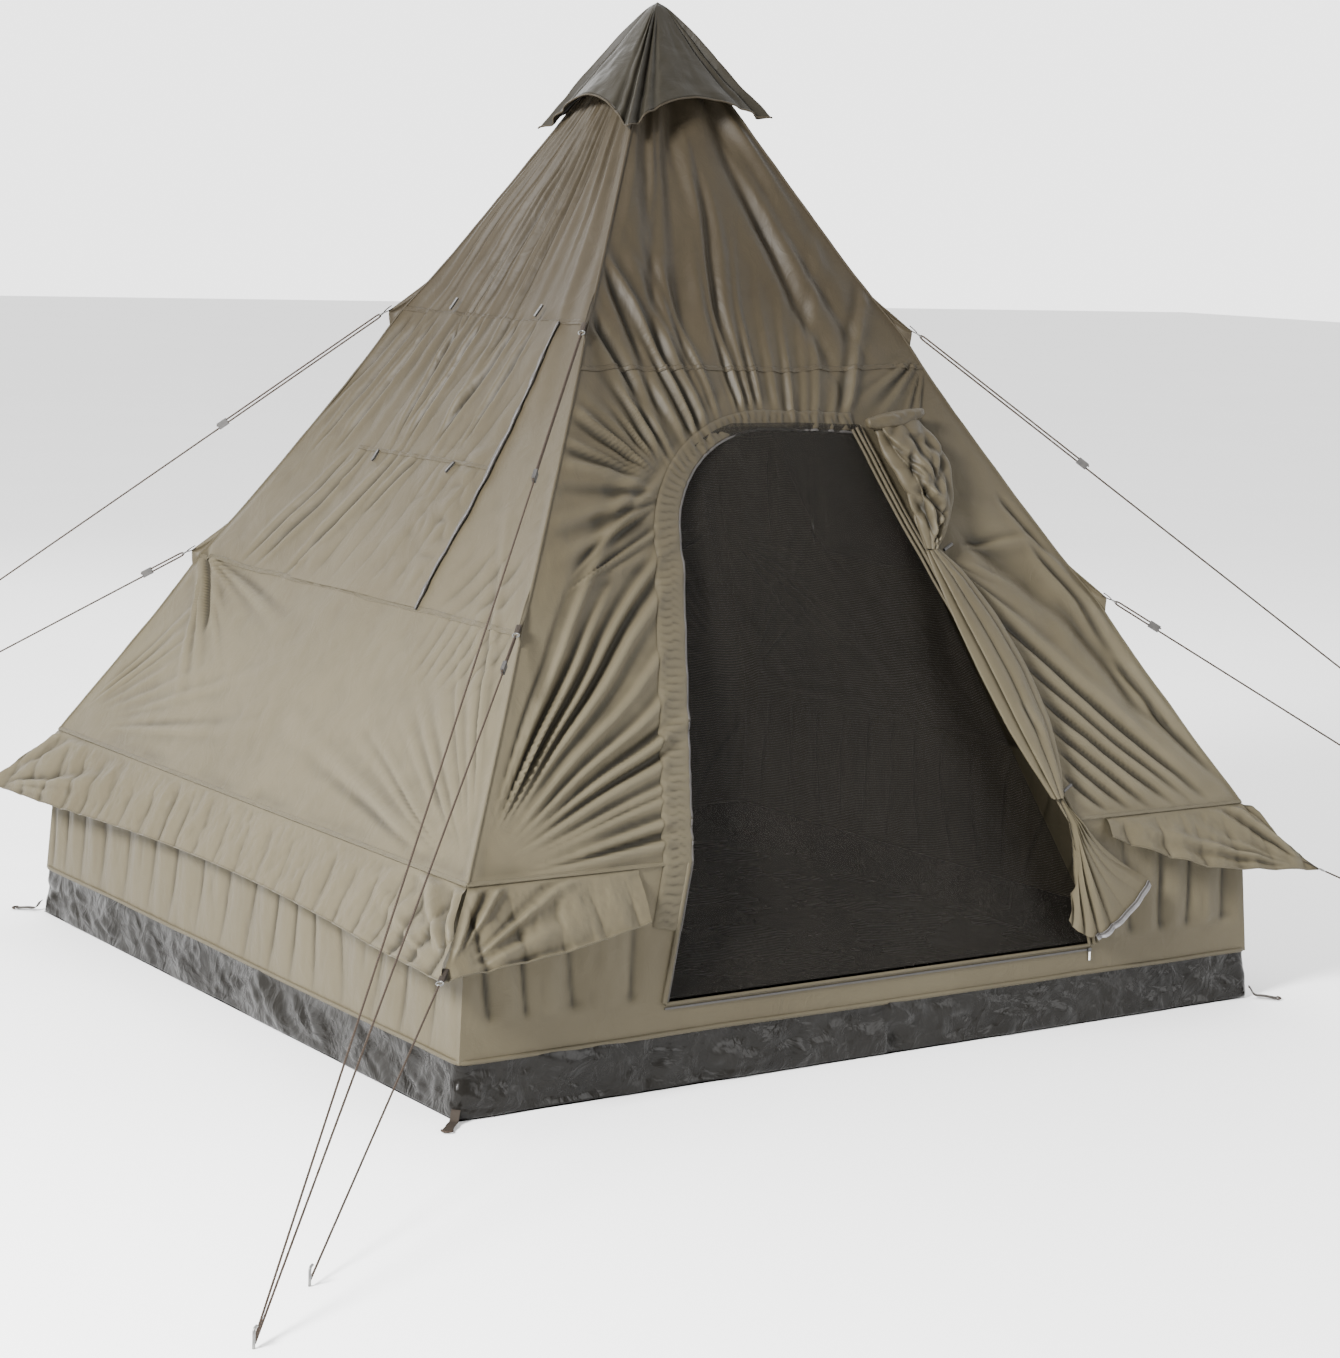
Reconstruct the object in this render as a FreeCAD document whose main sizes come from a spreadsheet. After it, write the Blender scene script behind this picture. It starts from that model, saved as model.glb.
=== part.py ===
import FreeCAD, Part
import math
import os
import Sketcher

# A four-sided teepee tent with a welded tub floor, short walls, a pyramid canopy, an eave
# skirt, a rain cap on the peak, one central pole and twelve guy ropes.  Millimetres, +Z up,
# origin on the ground at the centre of the base.  The door side faces -Y.

doc = FreeCAD.newDocument("TeepeeTent")

drivingSizes = {
    "base_width": 2900.0,
    "base_depth": 2742.0,
    "apex_height": 3038.0,
    "tub_height": 156.0,
    "eave_height": 625.0,
    "wall_lean": 39.0,
    "cloth": 2.0,
    "mesh_cloth": 1.0,
    "clear_gap": 0.5,
    "canopy_top": 3000.0,
    "front_seam_height": 1945.0,
    "side_seam_high": 2065.0,
    "side_seam_low": 1235.0,
    "window_half": 395.0,
    "window_border": 30.0,
    "door_half_sill": 784.0,
    "door_half_eave": 700.0,
    "door_shoulder_x": 455.0,
    "door_shoulder_height": 1410.0,
    "door_top_height": 1780.0,
    "door_corner_x": 310.0,
    "door_corner_height": 1768.0,
    "door_sill_height": 240.0,
    "placket_width": 85.0,
    "placket_top_width": 55.0,
    "placket_end_height": 440.0,
    "skirt_reach": 173.0,
    "skirt_drop": 193.0,
    "skirt_middle": 200.0,
    "skirt_front_left_end": 870.0,
    "skirt_front_right_start": 840.0,
    "cap_depth": 360.0,
    "cap_half_x": 270.0,
    "cap_half_y": 258.0,
    "cap_top": 3045.0,
    "cap_top_half": 15.0,
    "pole_radius": 14.0,
    "pole_wall": 1.5,
    "pole_joint_height": 1500.0,
    "foot_radius": 19.0,
    "foot_height": 32.0,
    "cup_radius": 18.0,
    "cup_height": 75.0,
    "cup_clear": 10.0,
    "net_foot_height": 250.0,
    "net_head_height": 1785.0,
    "net_half_foot": 830.0,
    "net_gap": 5.5,
    "zip_height": 226.0,
    "zip_width": 6.0,
    "zip_depth": 1.8,
    "slider_length": 13.0,
    "slider_width": 10.0,
    "slider_depth": 5.0,
    "pull_length": 26.0,
    "pull_width": 6.0,
    "pull_thick": 1.6,
    "pull_gap": 1.6,
    "tab_high": 2050.0,
    "tab_low": 1245.0,
    "tab_above": 120.0,
    "tab_below": 45.0,
    "tab_reach": 60.0,
    "ring_radius": 9.0,
    "ring_wire": 2.0,
    "rope_radius": 2.75,
    "strand_offset": 5.0,
    "peg_far": 1200.0,
    "peg_near": 920.0,
    "peg_radius": 3.5,
    "peg_height": 48.0,
    "peg_bend": 9.0,
    "peg_hook": 8.0,
    "rope_end_height": 14.0,
    "runner_length": 36.0,
    "runner_height": 22.0,
    "runner_width": 10.0,
    "runner_far": 620.0,
    "runner_near": 120.0,
    "webbing_width": 25.0,
    "webbing_length": 78.0,
    "toggle_length": 42.0,
    "toggle_radius": 5.0,
    "toggle_spread": 250.0,
    "toggle_high": 2088.0,
    "toggle_lift": 8.5,
    "bundle_thick": 50.0,
    "fold_thick": 30.0,
    "hanging_thick": 45.0,
    "skirt_left_end_depth": 150.0,
    "skirt_right_end_depth": 60.0,
    "groove_gap": 0.4,
    "bore_gap": 0.4,
}

sheet = doc.addObject("Spreadsheet::Sheet", "Sizes")
for rowNumber, (alias, number) in enumerate(drivingSizes.items(), start=1):
    sheet.set("A%d" % rowNumber, alias)
    sheet.set("B%d" % rowNumber, str(number))
    sheet.setAlias("B%d" % rowNumber, alias)
doc.recompute()


class Dim:
    """A length that carries both its number and its spreadsheet expression."""

    def __init__(self, number, text):
        self.number = number
        self.text = text

    def __add__(self, other):
        return Dim(self.number + dim(other).number, "(%s + %s)" % (self.text, dim(other).text))

    def __sub__(self, other):
        return Dim(self.number - dim(other).number, "(%s - %s)" % (self.text, dim(other).text))

    def __mul__(self, other):
        return Dim(self.number * dim(other).number, "(%s * %s)" % (self.text, dim(other).text))

    def __truediv__(self, other):
        return Dim(self.number / dim(other).number, "(%s / %s)" % (self.text, dim(other).text))

    def __neg__(self):
        return Dim(-self.number, "(0 - %s)" % self.text)


def dim(thing):
    if isinstance(thing, Dim):
        return thing
    return Dim(float(thing), repr(float(thing)))


def cell(alias):
    return Dim(float(getattr(sheet, alias)), "Sizes." + alias)


def root(length):
    return Dim(math.sqrt(length.number), "sqrt(%s)" % length.text)


def size(alias):
    return float(getattr(sheet, alias))


subParts = []


def keep(part, label):
    part.Label = label
    subParts.append(part)
    return part


# ---------------------------------------------------------------- the four tent faces
# Every face has a wall plane, from the base to the eave, and a roof plane, from the eave to
# the peak.  A panel is drawn on the inner side of its plane and padded outwards.

turnOfFace = {"front": 0.0, "right": 90.0, "back": 180.0, "left": 270.0}

roofRise = cell("apex_height") - cell("eave_height")
eaveHalfX = cell("base_width") / 2 - cell("wall_lean")
eaveHalfY = cell("base_depth") / 2 - cell("wall_lean")


def eaveRun(face):
    return eaveHalfY if face in ("front", "back") else eaveHalfX


def eaveHalf(face):
    return eaveHalfX if face in ("front", "back") else eaveHalfY


def baseHalf(face):
    return eaveHalf(face) + cell("wall_lean")


def roofLength(face):
    return root(roofRise * roofRise + eaveRun(face) * eaveRun(face))


def wallLength():
    return root(cell("eave_height") * cell("eave_height") + cell("wall_lean") * cell("wall_lean"))


def roofUp(face, height):
    return (dim(height) - cell("eave_height")) * roofLength(face) / roofRise


def wallUp(height):
    return dim(height) * wallLength() / cell("eave_height")


def roofHalf(face, height):
    return eaveHalf(face) * (cell("apex_height") - dim(height)) / roofRise


def wallHalf(face, height):
    return baseHalf(face) - cell("wall_lean") * dim(height) / cell("eave_height")


def roofPlane(face, lift=0.0):
    tilt = math.degrees(math.atan2(roofRise.number, eaveRun(face).number))
    turn = FreeCAD.Rotation(FreeCAD.Vector(0, 0, 1), turnOfFace[face])
    turn = turn * FreeCAD.Rotation(FreeCAD.Vector(1, 0, 0), tilt)
    start = FreeCAD.Rotation(FreeCAD.Vector(0, 0, 1), turnOfFace[face]).multVec(
        FreeCAD.Vector(0, -eaveRun(face).number, size("eave_height")))
    return FreeCAD.Placement(start + turn.multVec(FreeCAD.Vector(0, 0, lift)), turn)


def wallPlane(face, lift=0.0):
    tilt = math.degrees(math.atan2(size("eave_height"), size("wall_lean")))
    turn = FreeCAD.Rotation(FreeCAD.Vector(0, 0, 1), turnOfFace[face])
    turn = turn * FreeCAD.Rotation(FreeCAD.Vector(1, 0, 0), tilt)
    start = FreeCAD.Rotation(FreeCAD.Vector(0, 0, 1), turnOfFace[face]).multVec(
        FreeCAD.Vector(0, -(eaveRun(face) + cell("wall_lean")).number, 0))
    return FreeCAD.Placement(start + turn.multVec(FreeCAD.Vector(0, 0, lift)), turn)


def skirtPlane(face, lift=0.0):
    tilt = math.degrees(math.atan2(size("skirt_drop"), size("skirt_reach")))
    turn = FreeCAD.Rotation(FreeCAD.Vector(0, 0, 1), turnOfFace[face])
    turn = turn * FreeCAD.Rotation(FreeCAD.Vector(1, 0, 0), tilt)
    standOff = size("cloth") + 1.0
    start = FreeCAD.Rotation(FreeCAD.Vector(0, 0, 1), turnOfFace[face]).multVec(
        FreeCAD.Vector(0, -eaveRun(face).number - standOff, size("eave_height") - standOff))
    return FreeCAD.Placement(start + turn.multVec(FreeCAD.Vector(0, 0, lift)), turn)


# ---------------------------------------------------------------- panels cut from cloth
# An outline is a list of corners.  A corner is a pair of Dims; a third entry is a point that
# the edge arriving at this corner bends through, which makes that edge an arc.


def drawOutline(sketch, outline):
    corners = [(dim(entry[0]), dim(entry[1])) for entry in outline]
    points = [FreeCAD.Vector(across.number, up.number, 0) for across, up in corners]
    first = sketch.GeometryCount
    bends = []
    for index, start in enumerate(points):
        following = (index + 1) % len(points)
        bend = outline[following][2] if len(outline[following]) > 2 else None
        if bend is None:
            sketch.addGeometry(Part.LineSegment(start, points[following]), False)
        else:
            middle = FreeCAD.Vector(dim(bend[0]).number, dim(bend[1]).number, 0)
            arc = arcThrough(start, middle, points[following])
            bends.append((sketch.addGeometry(arc, False), bend))
    for index, (across, up) in enumerate(corners):
        edge = first + index
        before = first + (index - 1) % len(points)
        startEnd = nearEnd(sketch, edge, points[index])
        beforeEnd = nearEnd(sketch, before, points[index])
        sketch.addConstraint(Sketcher.Constraint("Coincident", before, beforeEnd, edge, startEnd))
        placePoint(sketch, edge, startEnd, across, up)
    for edge, bend in bends:
        # a construction point on the arc holds its bend
        spot = FreeCAD.Vector(dim(bend[0]).number, dim(bend[1]).number, 0)
        through = sketch.addGeometry(Part.Point(spot), True)
        placePoint(sketch, through, 1, dim(bend[0]), dim(bend[1]))
        sketch.addConstraint(Sketcher.Constraint("PointOnObject", through, 1, edge))


def arcThrough(start, middle, end):
    """A sketch arc runs anticlockwise about +Z, so a clockwise one is drawn from its end."""
    circle = Part.Arc(start, middle, end).toShape().Curve
    centre = circle.Center
    turn = (middle - start).cross(end - start).z
    low, high = (start, end) if turn > 0 else (end, start)
    lowAngle = math.atan2(low.y - centre.y, low.x - centre.x)
    highAngle = math.atan2(high.y - centre.y, high.x - centre.x)
    upwards = Part.Circle(centre, FreeCAD.Vector(0, 0, 1), circle.Radius)
    return Part.ArcOfCircle(upwards, lowAngle, highAngle)


def placePoint(sketch, geometry, end, across, up):
    for kind, coordinate in (("DistanceX", across), ("DistanceY", up)):
        constraint = Sketcher.Constraint(kind, -1, 1, geometry, end, coordinate.number)
        number = sketch.addConstraint(constraint)
        sketch.setExpression("Constraints[%d]" % number, coordinate.text)


def nearEnd(sketch, edge, point):
    geometry = sketch.Geometry[edge]
    if (geometry.StartPoint - point).Length <= (geometry.EndPoint - point).Length:
        return 1
    return 2


def clothPanel(name, outline, plane, thick="Sizes.cloth", holes=()):
    body = doc.addObject("PartDesign::Body", name)
    sketch = body.newObject("Sketcher::SketchObject", name + "_outline")
    flat = [item for item in body.Origin.OriginFeatures if item.Role == "XY_Plane"][0]
    sketch.AttachmentSupport = [(flat, "")]
    sketch.MapMode = "FlatFace"
    drawOutline(sketch, outline)
    for hole in holes:
        drawOutline(sketch, hole)
    pad = body.newObject("PartDesign::Pad", name + "_pad")
    pad.Profile = sketch
    pad.setExpression("Length", thick)
    body.Placement = plane
    return body


def joined(name, pieces):
    group = doc.addObject("Part::Compound", name)
    group.Links = pieces
    return group


def trapezium(face, halfAt, upAt, low, high):
    return [
        (-halfAt(face, low), upAt(low)),
        (halfAt(face, low), upAt(low)),
        (halfAt(face, high), upAt(high)),
        (-halfAt(face, high), upAt(high)),
    ]


def wallOutline(face, low, high):
    return trapezium(face, wallHalf, wallUp, low, high)


def roofOutline(face, low, high):
    return trapezium(face, roofHalf, lambda height: roofUp(face, height), low, high)


def frontUp(height):
    return roofUp("front", height)


# the front wall is one U-shaped panel: the doorway is cut down to the sill
frontWall = [
    (-wallHalf("front", cell("tub_height")), wallUp(cell("tub_height"))),
    (wallHalf("front", cell("tub_height")), wallUp(cell("tub_height"))),
    (eaveHalfX, wallUp(cell("eave_height"))),
    (cell("door_half_eave"), wallUp(cell("eave_height"))),
    (cell("door_half_sill"), wallUp(cell("door_sill_height"))),
    (-cell("door_half_sill"), wallUp(cell("door_sill_height"))),
    (-cell("door_half_eave"), wallUp(cell("eave_height"))),
    (-eaveHalfX, wallUp(cell("eave_height"))),
]
keep(clothPanel("WallFront", frontWall, wallPlane("front")), "wall_front")
for face in ("left", "right", "back"):
    outline = wallOutline(face, cell("tub_height"), cell("eave_height"))
    keep(clothPanel("Wall" + face.title(), outline, wallPlane(face)), "wall_" + face)

# the lower front panel has the arched doorway cut out of its bottom edge: a curved shoulder on
# the zip side, a square corner on the hinge side
archBend = (-cell("door_shoulder_x") * 0.66, frontUp(cell("door_top_height") - 92.0))
frontLower = [
    (-eaveHalfX, frontUp(cell("eave_height"))),
    (-cell("door_half_eave"), frontUp(cell("eave_height"))),
    (-cell("door_shoulder_x"), frontUp(cell("door_shoulder_height"))),
    (dim(20.0), frontUp(cell("door_top_height")), archBend),
    (cell("door_corner_x"), frontUp(cell("door_corner_height"))),
    (cell("door_half_eave"), frontUp(cell("eave_height"))),
    (eaveHalfX, frontUp(cell("eave_height"))),
    (roofHalf("front", cell("front_seam_height")), frontUp(cell("front_seam_height"))),
    (-roofHalf("front", cell("front_seam_height")), frontUp(cell("front_seam_height"))),
]
keep(clothPanel("CanopyFrontLower", frontLower, roofPlane("front")), "canopy_front_lower")
frontUpper = roofOutline("front", cell("front_seam_height"), cell("canopy_top"))
keep(clothPanel("CanopyFrontUpper", frontUpper, roofPlane("front")), "canopy_front_upper")


def windowOutline(face, grow):
    half = cell("window_half") + grow
    low = roofUp(face, cell("side_seam_low")) - grow
    high = roofUp(face, cell("side_seam_high")) + grow
    return [(-half, low), (half, low), (half, high), (-half, high)]


for face in ("left", "right"):
    title = face.title()
    lower = roofOutline(face, cell("eave_height"), cell("side_seam_low"))
    middle = roofOutline(face, cell("side_seam_low"), cell("side_seam_high"))
    upper = roofOutline(face, cell("side_seam_high"), cell("canopy_top"))
    hole = windowOutline(face, -cell("window_border"))
    keep(clothPanel("Canopy%sLower" % title, lower, roofPlane(face)), "canopy_%s_lower" % face)
    middlePanel = clothPanel("Canopy%sMiddle" % title, middle, roofPlane(face), holes=[hole])
    keep(middlePanel, "canopy_%s_middle" % face)
    keep(clothPanel("Canopy%sUpper" % title, upper, roofPlane(face)), "canopy_%s_upper" % face)
    # the flap lies on the outside and is sewn along the top seam; the mesh is behind the hole
    flapPlane = roofPlane(face, size("cloth") + size("clear_gap"))
    flap = clothPanel("WindowFlap" + title, windowOutline(face, -cell("clear_gap")), flapPlane)
    keep(flap, "window_flap_" + face)
    netPlane = roofPlane(face, -size("mesh_cloth") - 0.1)
    net = windowOutline(face, -cell("window_border") / 2)
    keep(clothPanel("WindowNet" + title, net, netPlane, "Sizes.mesh_cloth"), "window_net_" + face)

backPanel = roofOutline("back", cell("eave_height"), cell("canopy_top"))
keep(clothPanel("CanopyBack", backPanel, roofPlane("back")), "canopy_back")


# ---------------------------------------------------------------- eave skirt
skirtLength = root(cell("skirt_reach") * cell("skirt_reach")
                   + cell("skirt_drop") * cell("skirt_drop"))


def skirtOutline(face):
    half = eaveHalf(face)
    tip = half + cell("skirt_reach")
    return [
        (-half, dim(0.0)),
        (-tip, -skirtLength),
        (tip, -skirtLength, (dim(0.0), -cell("skirt_middle"))),
        (half, dim(0.0)),
    ]


for face in ("left", "right", "back"):
    keep(clothPanel("Skirt" + face.title(), skirtOutline(face), skirtPlane(face)), "skirt_" + face)

# the front skirt stops on each side of the doorway; each hem bends through one more point
skirtTip = eaveHalfX + cell("skirt_reach")
leftBend = (dim(-1200.0), dim(-215.0))
rightBend = (dim(1200.0), dim(-205.0))
frontLeftSkirt = [
    (-eaveHalfX, dim(0.0)),
    (-skirtTip, -skirtLength),
    (-cell("skirt_front_left_end"), -cell("skirt_left_end_depth"), leftBend),
    (-cell("skirt_front_left_end"), dim(0.0)),
]
frontRightSkirt = [
    (eaveHalfX, dim(0.0)),
    (skirtTip, -skirtLength),
    (cell("skirt_front_right_start"), -cell("skirt_right_end_depth"), rightBend),
    (cell("skirt_front_right_start"), dim(0.0)),
]
skirtPieces = [
    clothPanel("SkirtFrontLeft", frontLeftSkirt, skirtPlane("front")),
    clothPanel("SkirtFrontRight", frontRightSkirt, skirtPlane("front")),
]
keep(joined("SkirtFront", skirtPieces), "skirt_front")


# ---------------------------------------------------------------- tub floor and peak cap
def frustum(name, lowX, lowY, highX, highY, low, high):
    """An upright frustum of a rectangular pyramid between two heights."""
    wedge = doc.addObject("Part::Wedge", name)
    for side, sign in (("min", "0 - "), ("max", "")):
        wedge.setExpression("X" + side, sign + lowX.text)
        wedge.setExpression("Z" + side, sign + lowY.text)
        wedge.setExpression("X2" + side, sign + highX.text)
        wedge.setExpression("Z2" + side, sign + highY.text)
    wedge.setExpression("Ymin", dim(low).text)
    wedge.setExpression("Ymax", dim(high).text)
    upright = FreeCAD.Rotation(FreeCAD.Vector(1, 0, 0), 90)
    wedge.Placement = FreeCAD.Placement(FreeCAD.Vector(0, 0, 0), upright)
    return wedge


def hollow(name, outer, inner):
    shell = doc.addObject("Part::Cut", name)
    shell.Base = outer
    shell.Tool = inner
    return shell


baseX = cell("base_width") / 2
baseY = cell("base_depth") / 2
tubTop = cell("tub_height")
tubOuter = frustum("TubOuter", baseX + cell("cloth"), baseY + cell("cloth"),
                   wallHalf("front", tubTop) + cell("cloth"),
                   wallHalf("left", tubTop) + cell("cloth"), 0.0, tubTop)
tubInner = frustum("TubInner", wallHalf("front", cell("cloth")), wallHalf("left", cell("cloth")),
                   wallHalf("front", tubTop + 10.0), wallHalf("left", tubTop + 10.0),
                   cell("cloth"), tubTop + 10.0)
keep(hollow("Groundsheet", tubOuter, tubInner), "groundsheet")

capLow = cell("cap_top") - cell("cap_depth")
capOuter = frustum("CapOuter", cell("cap_half_x"), cell("cap_half_y"),
                   cell("cap_top_half"), cell("cap_top_half"), capLow, cell("cap_top"))
capInner = frustum("CapInner", cell("cap_half_x") - cell("cloth"), cell("cap_half_y") - cell("cloth"),
                   cell("cap_top_half") - cell("cloth"), cell("cap_top_half") - cell("cloth"),
                   capLow - cell("cloth"), cell("cap_top") - cell("cloth"))
keep(hollow("PeakCap", capOuter, capInner), "peak_cap")


# ---------------------------------------------------------------- central pole
def upright(name, radius, low, high):
    rod = doc.addObject("Part::Cylinder", name)
    rod.setExpression("Radius", radius.text)
    rod.setExpression("Height", (high - low).text)
    rod.setExpression("Placement.Base.z", low.text)
    return rod


def tube(name, radius, low, high):
    outer = upright(name + "Outer", radius, low, high)
    inner = upright(name + "Bore", radius - cell("pole_wall"), low - 1.0, high + 1.0)
    return hollow(name, outer, inner)


footLow = cell("cloth")
footTop = footLow + cell("foot_height")
tubeLow = footLow + 6.0
cupTop = cell("cap_top") - cell("cloth") - cell("cup_clear")
cupLow = cupTop - cell("cup_height")
footBody = upright("FootBody", cell("foot_radius"), footLow, footTop)
footSocket = upright("FootSocket", cell("pole_radius"), tubeLow, footTop + 1.0)
keep(hollow("PoleFoot", footBody, footSocket), "pole_foot")
keep(tube("PoleLower", cell("pole_radius"), tubeLow, cell("pole_joint_height")), "pole_lower")
keep(tube("PoleUpper", cell("pole_radius"), cell("pole_joint_height"), cupTop - 8.0), "pole_upper")
cupBody = upright("CupBody", cell("cup_radius"), cupLow, cupTop)
cupSocket = upright("CupSocket", cell("pole_radius"), cupLow - 1.0, cupTop - 8.0)
keep(hollow("PoleCup", cupBody, cupSocket), "pole_cup")


# ---------------------------------------------------------------- doorway
placketLift = size("cloth") + 0.2
outerEave = cell("door_half_eave") + cell("placket_width")
outerShoulder = cell("door_shoulder_x") + cell("placket_width")
outerTop = frontUp(cell("door_top_height")) + cell("placket_top_width")
placketEndUp = wallUp(cell("placket_end_height"))
doorAtEnd = cell("door_half_eave") + (cell("door_half_sill") - cell("door_half_eave")) * (
    cell("eave_height") - cell("placket_end_height")) / (
    cell("eave_height") - cell("door_sill_height"))
placketRoof = [
    (-cell("door_half_eave"), dim(0.0)),
    (-cell("door_shoulder_x"), frontUp(cell("door_shoulder_height"))),
    (dim(20.0), frontUp(cell("door_top_height")), archBend),
    (cell("door_corner_x"), frontUp(cell("door_corner_height"))),
    (cell("door_corner_x") + 15.0, frontUp(cell("door_corner_height")) + 45.0),
    (dim(20.0), outerTop),
    (-outerShoulder, frontUp(cell("door_shoulder_height")),
     (archBend[0] - 58.0, archBend[1] + 46.0)),
    (-outerEave, dim(0.0)),
]
placketWall = [
    (-doorAtEnd, placketEndUp),
    (-cell("door_half_eave"), wallUp(cell("eave_height"))),
    (-outerEave, wallUp(cell("eave_height"))),
    (-doorAtEnd - cell("placket_width"), placketEndUp),
]
placketPieces = [
    clothPanel("PlacketRoof", placketRoof, roofPlane("front", placketLift)),
    clothPanel("PlacketWall", placketWall, wallPlane("front", placketLift)),
]
keep(joined("DoorPlacket", placketPieces), "door_placket")

# the outer door is unzipped, gathered back along the hinge side and tied in two places: each
# slab's corners are (across, height)
bundleCorners = ((335, 1755), (335, 1700), (445, 1425), (500, 1425), (605, 1640), (565, 1800), (420, 1800))
foldCorners = ((452, 1395), (668, 735), (700, 735), (625, 1150), (500, 1395))
hangingCorners = ((790, 285), (905, 385), (965, 440), (780, 585), (715, 600))
bundle = [(dim(float(across)), frontUp(float(height))) for across, height in bundleCorners]
fold = [(dim(float(across)), frontUp(float(height))) for across, height in foldCorners]
hanging = [(dim(float(across)), wallUp(float(height))) for across, height in hangingCorners]
doorLift = size("cloth") + 1.0
doorPlane = roofPlane("front", doorLift)
doorPieces = [
    clothPanel("DoorBundle", bundle, doorPlane, "Sizes.bundle_thick"),
    clothPanel("DoorFold", fold, doorPlane, "Sizes.fold_thick"),
    clothPanel("DoorHanging", hanging, wallPlane("front", doorLift), "Sizes.hanging_thick"),
]
keep(joined("DoorPanel", doorPieces), "door_panel")

# the insect net is flat, hangs just inside the doorway and is sewn along its hinge side
netFootY = -(baseY - cell("wall_lean") * cell("net_foot_height") / cell("eave_height")).number
netHeadY = -(eaveRun("front") * (cell("apex_height") - cell("net_head_height")) / roofRise).number
netFoot = FreeCAD.Vector(0, netFootY + size("net_gap"), size("net_foot_height"))
netHead = FreeCAD.Vector(0, netHeadY + size("net_gap"), size("net_head_height"))
netTilt = math.degrees(math.atan2(netHead.z - netFoot.z, netHead.y - netFoot.y))
netLength = (netHead - netFoot).Length
netPlace = FreeCAD.Placement(netFoot, FreeCAD.Rotation(FreeCAD.Vector(1, 0, 0), netTilt))
netShare = (size("door_shoulder_height") - netFoot.z) / (netHead.z - netFoot.z)
netOutline = [
    (-cell("net_half_foot"), dim(0.0)),
    (cell("net_half_foot"), dim(0.0)),
    (cell("door_corner_x") + 20.0, dim(netLength - 8.0)),
    (dim(20.0), dim(netLength)),
    (-cell("door_shoulder_x") - 15.0, dim(netLength * netShare),
     (archBend[0] - 22.0, dim(netLength - 88.0))),
]
keep(clothPanel("NetDoor", netOutline, netPlace, "Sizes.mesh_cloth"), "net_door")

# two coil zips run along the sill: the door's outside, the net's inside
zipCentre = wallUp(cell("zip_height"))
zipHalf = cell("door_half_sill")
zipOutline = [
    (-zipHalf, zipCentre - cell("zip_width") / 2),
    (zipHalf, zipCentre - cell("zip_width") / 2),
    (zipHalf, zipCentre + cell("zip_width") / 2),
    (-zipHalf, zipCentre + cell("zip_width") / 2),
]
zipPieces = [
    clothPanel("ZipOutside", zipOutline, wallPlane("front", size("cloth")), "Sizes.zip_depth"),
    clothPanel("ZipInside", zipOutline, wallPlane("front", -size("zip_depth")), "Sizes.zip_depth"),
]
keep(joined("SillZips", zipPieces), "sill_zips")


def slotted(name, plane, inward):
    """A zip slider: a block with a groove over the coil, built on the front wall plane."""
    block = doc.addObject("Part::Box", name + "Block")
    block.setExpression("Length", "Sizes.slider_length")
    block.setExpression("Width", "Sizes.slider_width")
    block.setExpression("Height", "Sizes.slider_depth - Sizes.groove_gap")
    groove = doc.addObject("Part::Box", name + "Groove")
    groove.setExpression("Length", "Sizes.slider_length + 2")
    groove.setExpression("Width", "Sizes.zip_width + 2 * Sizes.groove_gap")
    groove.setExpression("Height", "Sizes.zip_depth")
    gap = size("groove_gap")
    across = size("door_half_sill") - size("slider_length")
    up = zipCentre.number - size("slider_width") / 2
    grooveUp = zipCentre.number - size("zip_width") / 2 - gap
    low = -size("slider_depth") if inward else gap
    grooveLow = -size("zip_depth") - gap if inward else gap
    block.Placement = plane.multiply(FreeCAD.Placement(
        FreeCAD.Vector(across, up, low), FreeCAD.Rotation()))
    groove.Placement = plane.multiply(FreeCAD.Placement(
        FreeCAD.Vector(across - 1, grooveUp, grooveLow), FreeCAD.Rotation()))
    return hollow(name, block, groove)


keep(slotted("DoorSlider", wallPlane("front", size("cloth")), False), "door_slider")
keep(slotted("NetSlider", wallPlane("front"), True), "net_slider")


def zipPull(name, outward):
    """A flat pull that hangs straight down from the lower edge of its slider."""
    tab = doc.addObject("Part::Box", name)
    tab.setExpression("Length", "Sizes.pull_width")
    tab.setExpression("Width", "Sizes.pull_thick")
    tab.setExpression("Height", "Sizes.pull_length")
    top = size("zip_height") - size("slider_width") / 2 - size("pull_gap")
    across = size("door_half_sill") - (size("slider_length") + size("pull_width")) / 2
    wallY = -(baseY - cell("wall_lean") * cell("zip_height") / cell("eave_height")).number
    deep = wallY - size("cloth") - 5.5 if outward else wallY + 3.2
    tab.Placement.Base = FreeCAD.Vector(across, deep, top - size("pull_length"))
    return tab


keep(zipPull("DoorPull", True), "door_pull")
keep(zipPull("NetPull", False), "net_pull")


# ---------------------------------------------------------------- toggles
def toggle(name, place, along):
    peg = doc.addObject("Part::Cylinder", name)
    peg.setExpression("Radius", "Sizes.toggle_radius")
    peg.setExpression("Height", "Sizes.toggle_length")
    turn = FreeCAD.Rotation(FreeCAD.Vector(0, 0, 1), along)
    peg.Placement = FreeCAD.Placement(place - along * (size("toggle_length") / 2), turn)
    return peg


toggles = []
for face in ("left", "right"):
    for side in (-1, 1):
        plane = roofPlane(face)
        spot = FreeCAD.Vector(side * size("toggle_spread"), roofUp(face, size("toggle_high")).number,
                              size("toggle_lift"))
        along = plane.Rotation.multVec(FreeCAD.Vector(0.25, 1, 0).normalize())
        toggles.append(toggle("Toggle_%s_%d" % (face, side + 1), plane.multVec(spot), along))
doorToggleSpots = (
    ("front", 520.0, 1409.0, 14.0),
    ("front", 712.0, 712.0, 12.0),
)
for face, across, height, lift in doorToggleSpots:
    spot = roofPlane(face).multVec(FreeCAD.Vector(across, roofUp(face, height).number, lift))
    along = roofPlane(face).Rotation.multVec(FreeCAD.Vector(1, 0.5, 0).normalize())
    toggles.append(toggle("ToggleDoor%d" % height, spot, along))
keep(joined("Toggles", toggles), "toggles")


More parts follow.
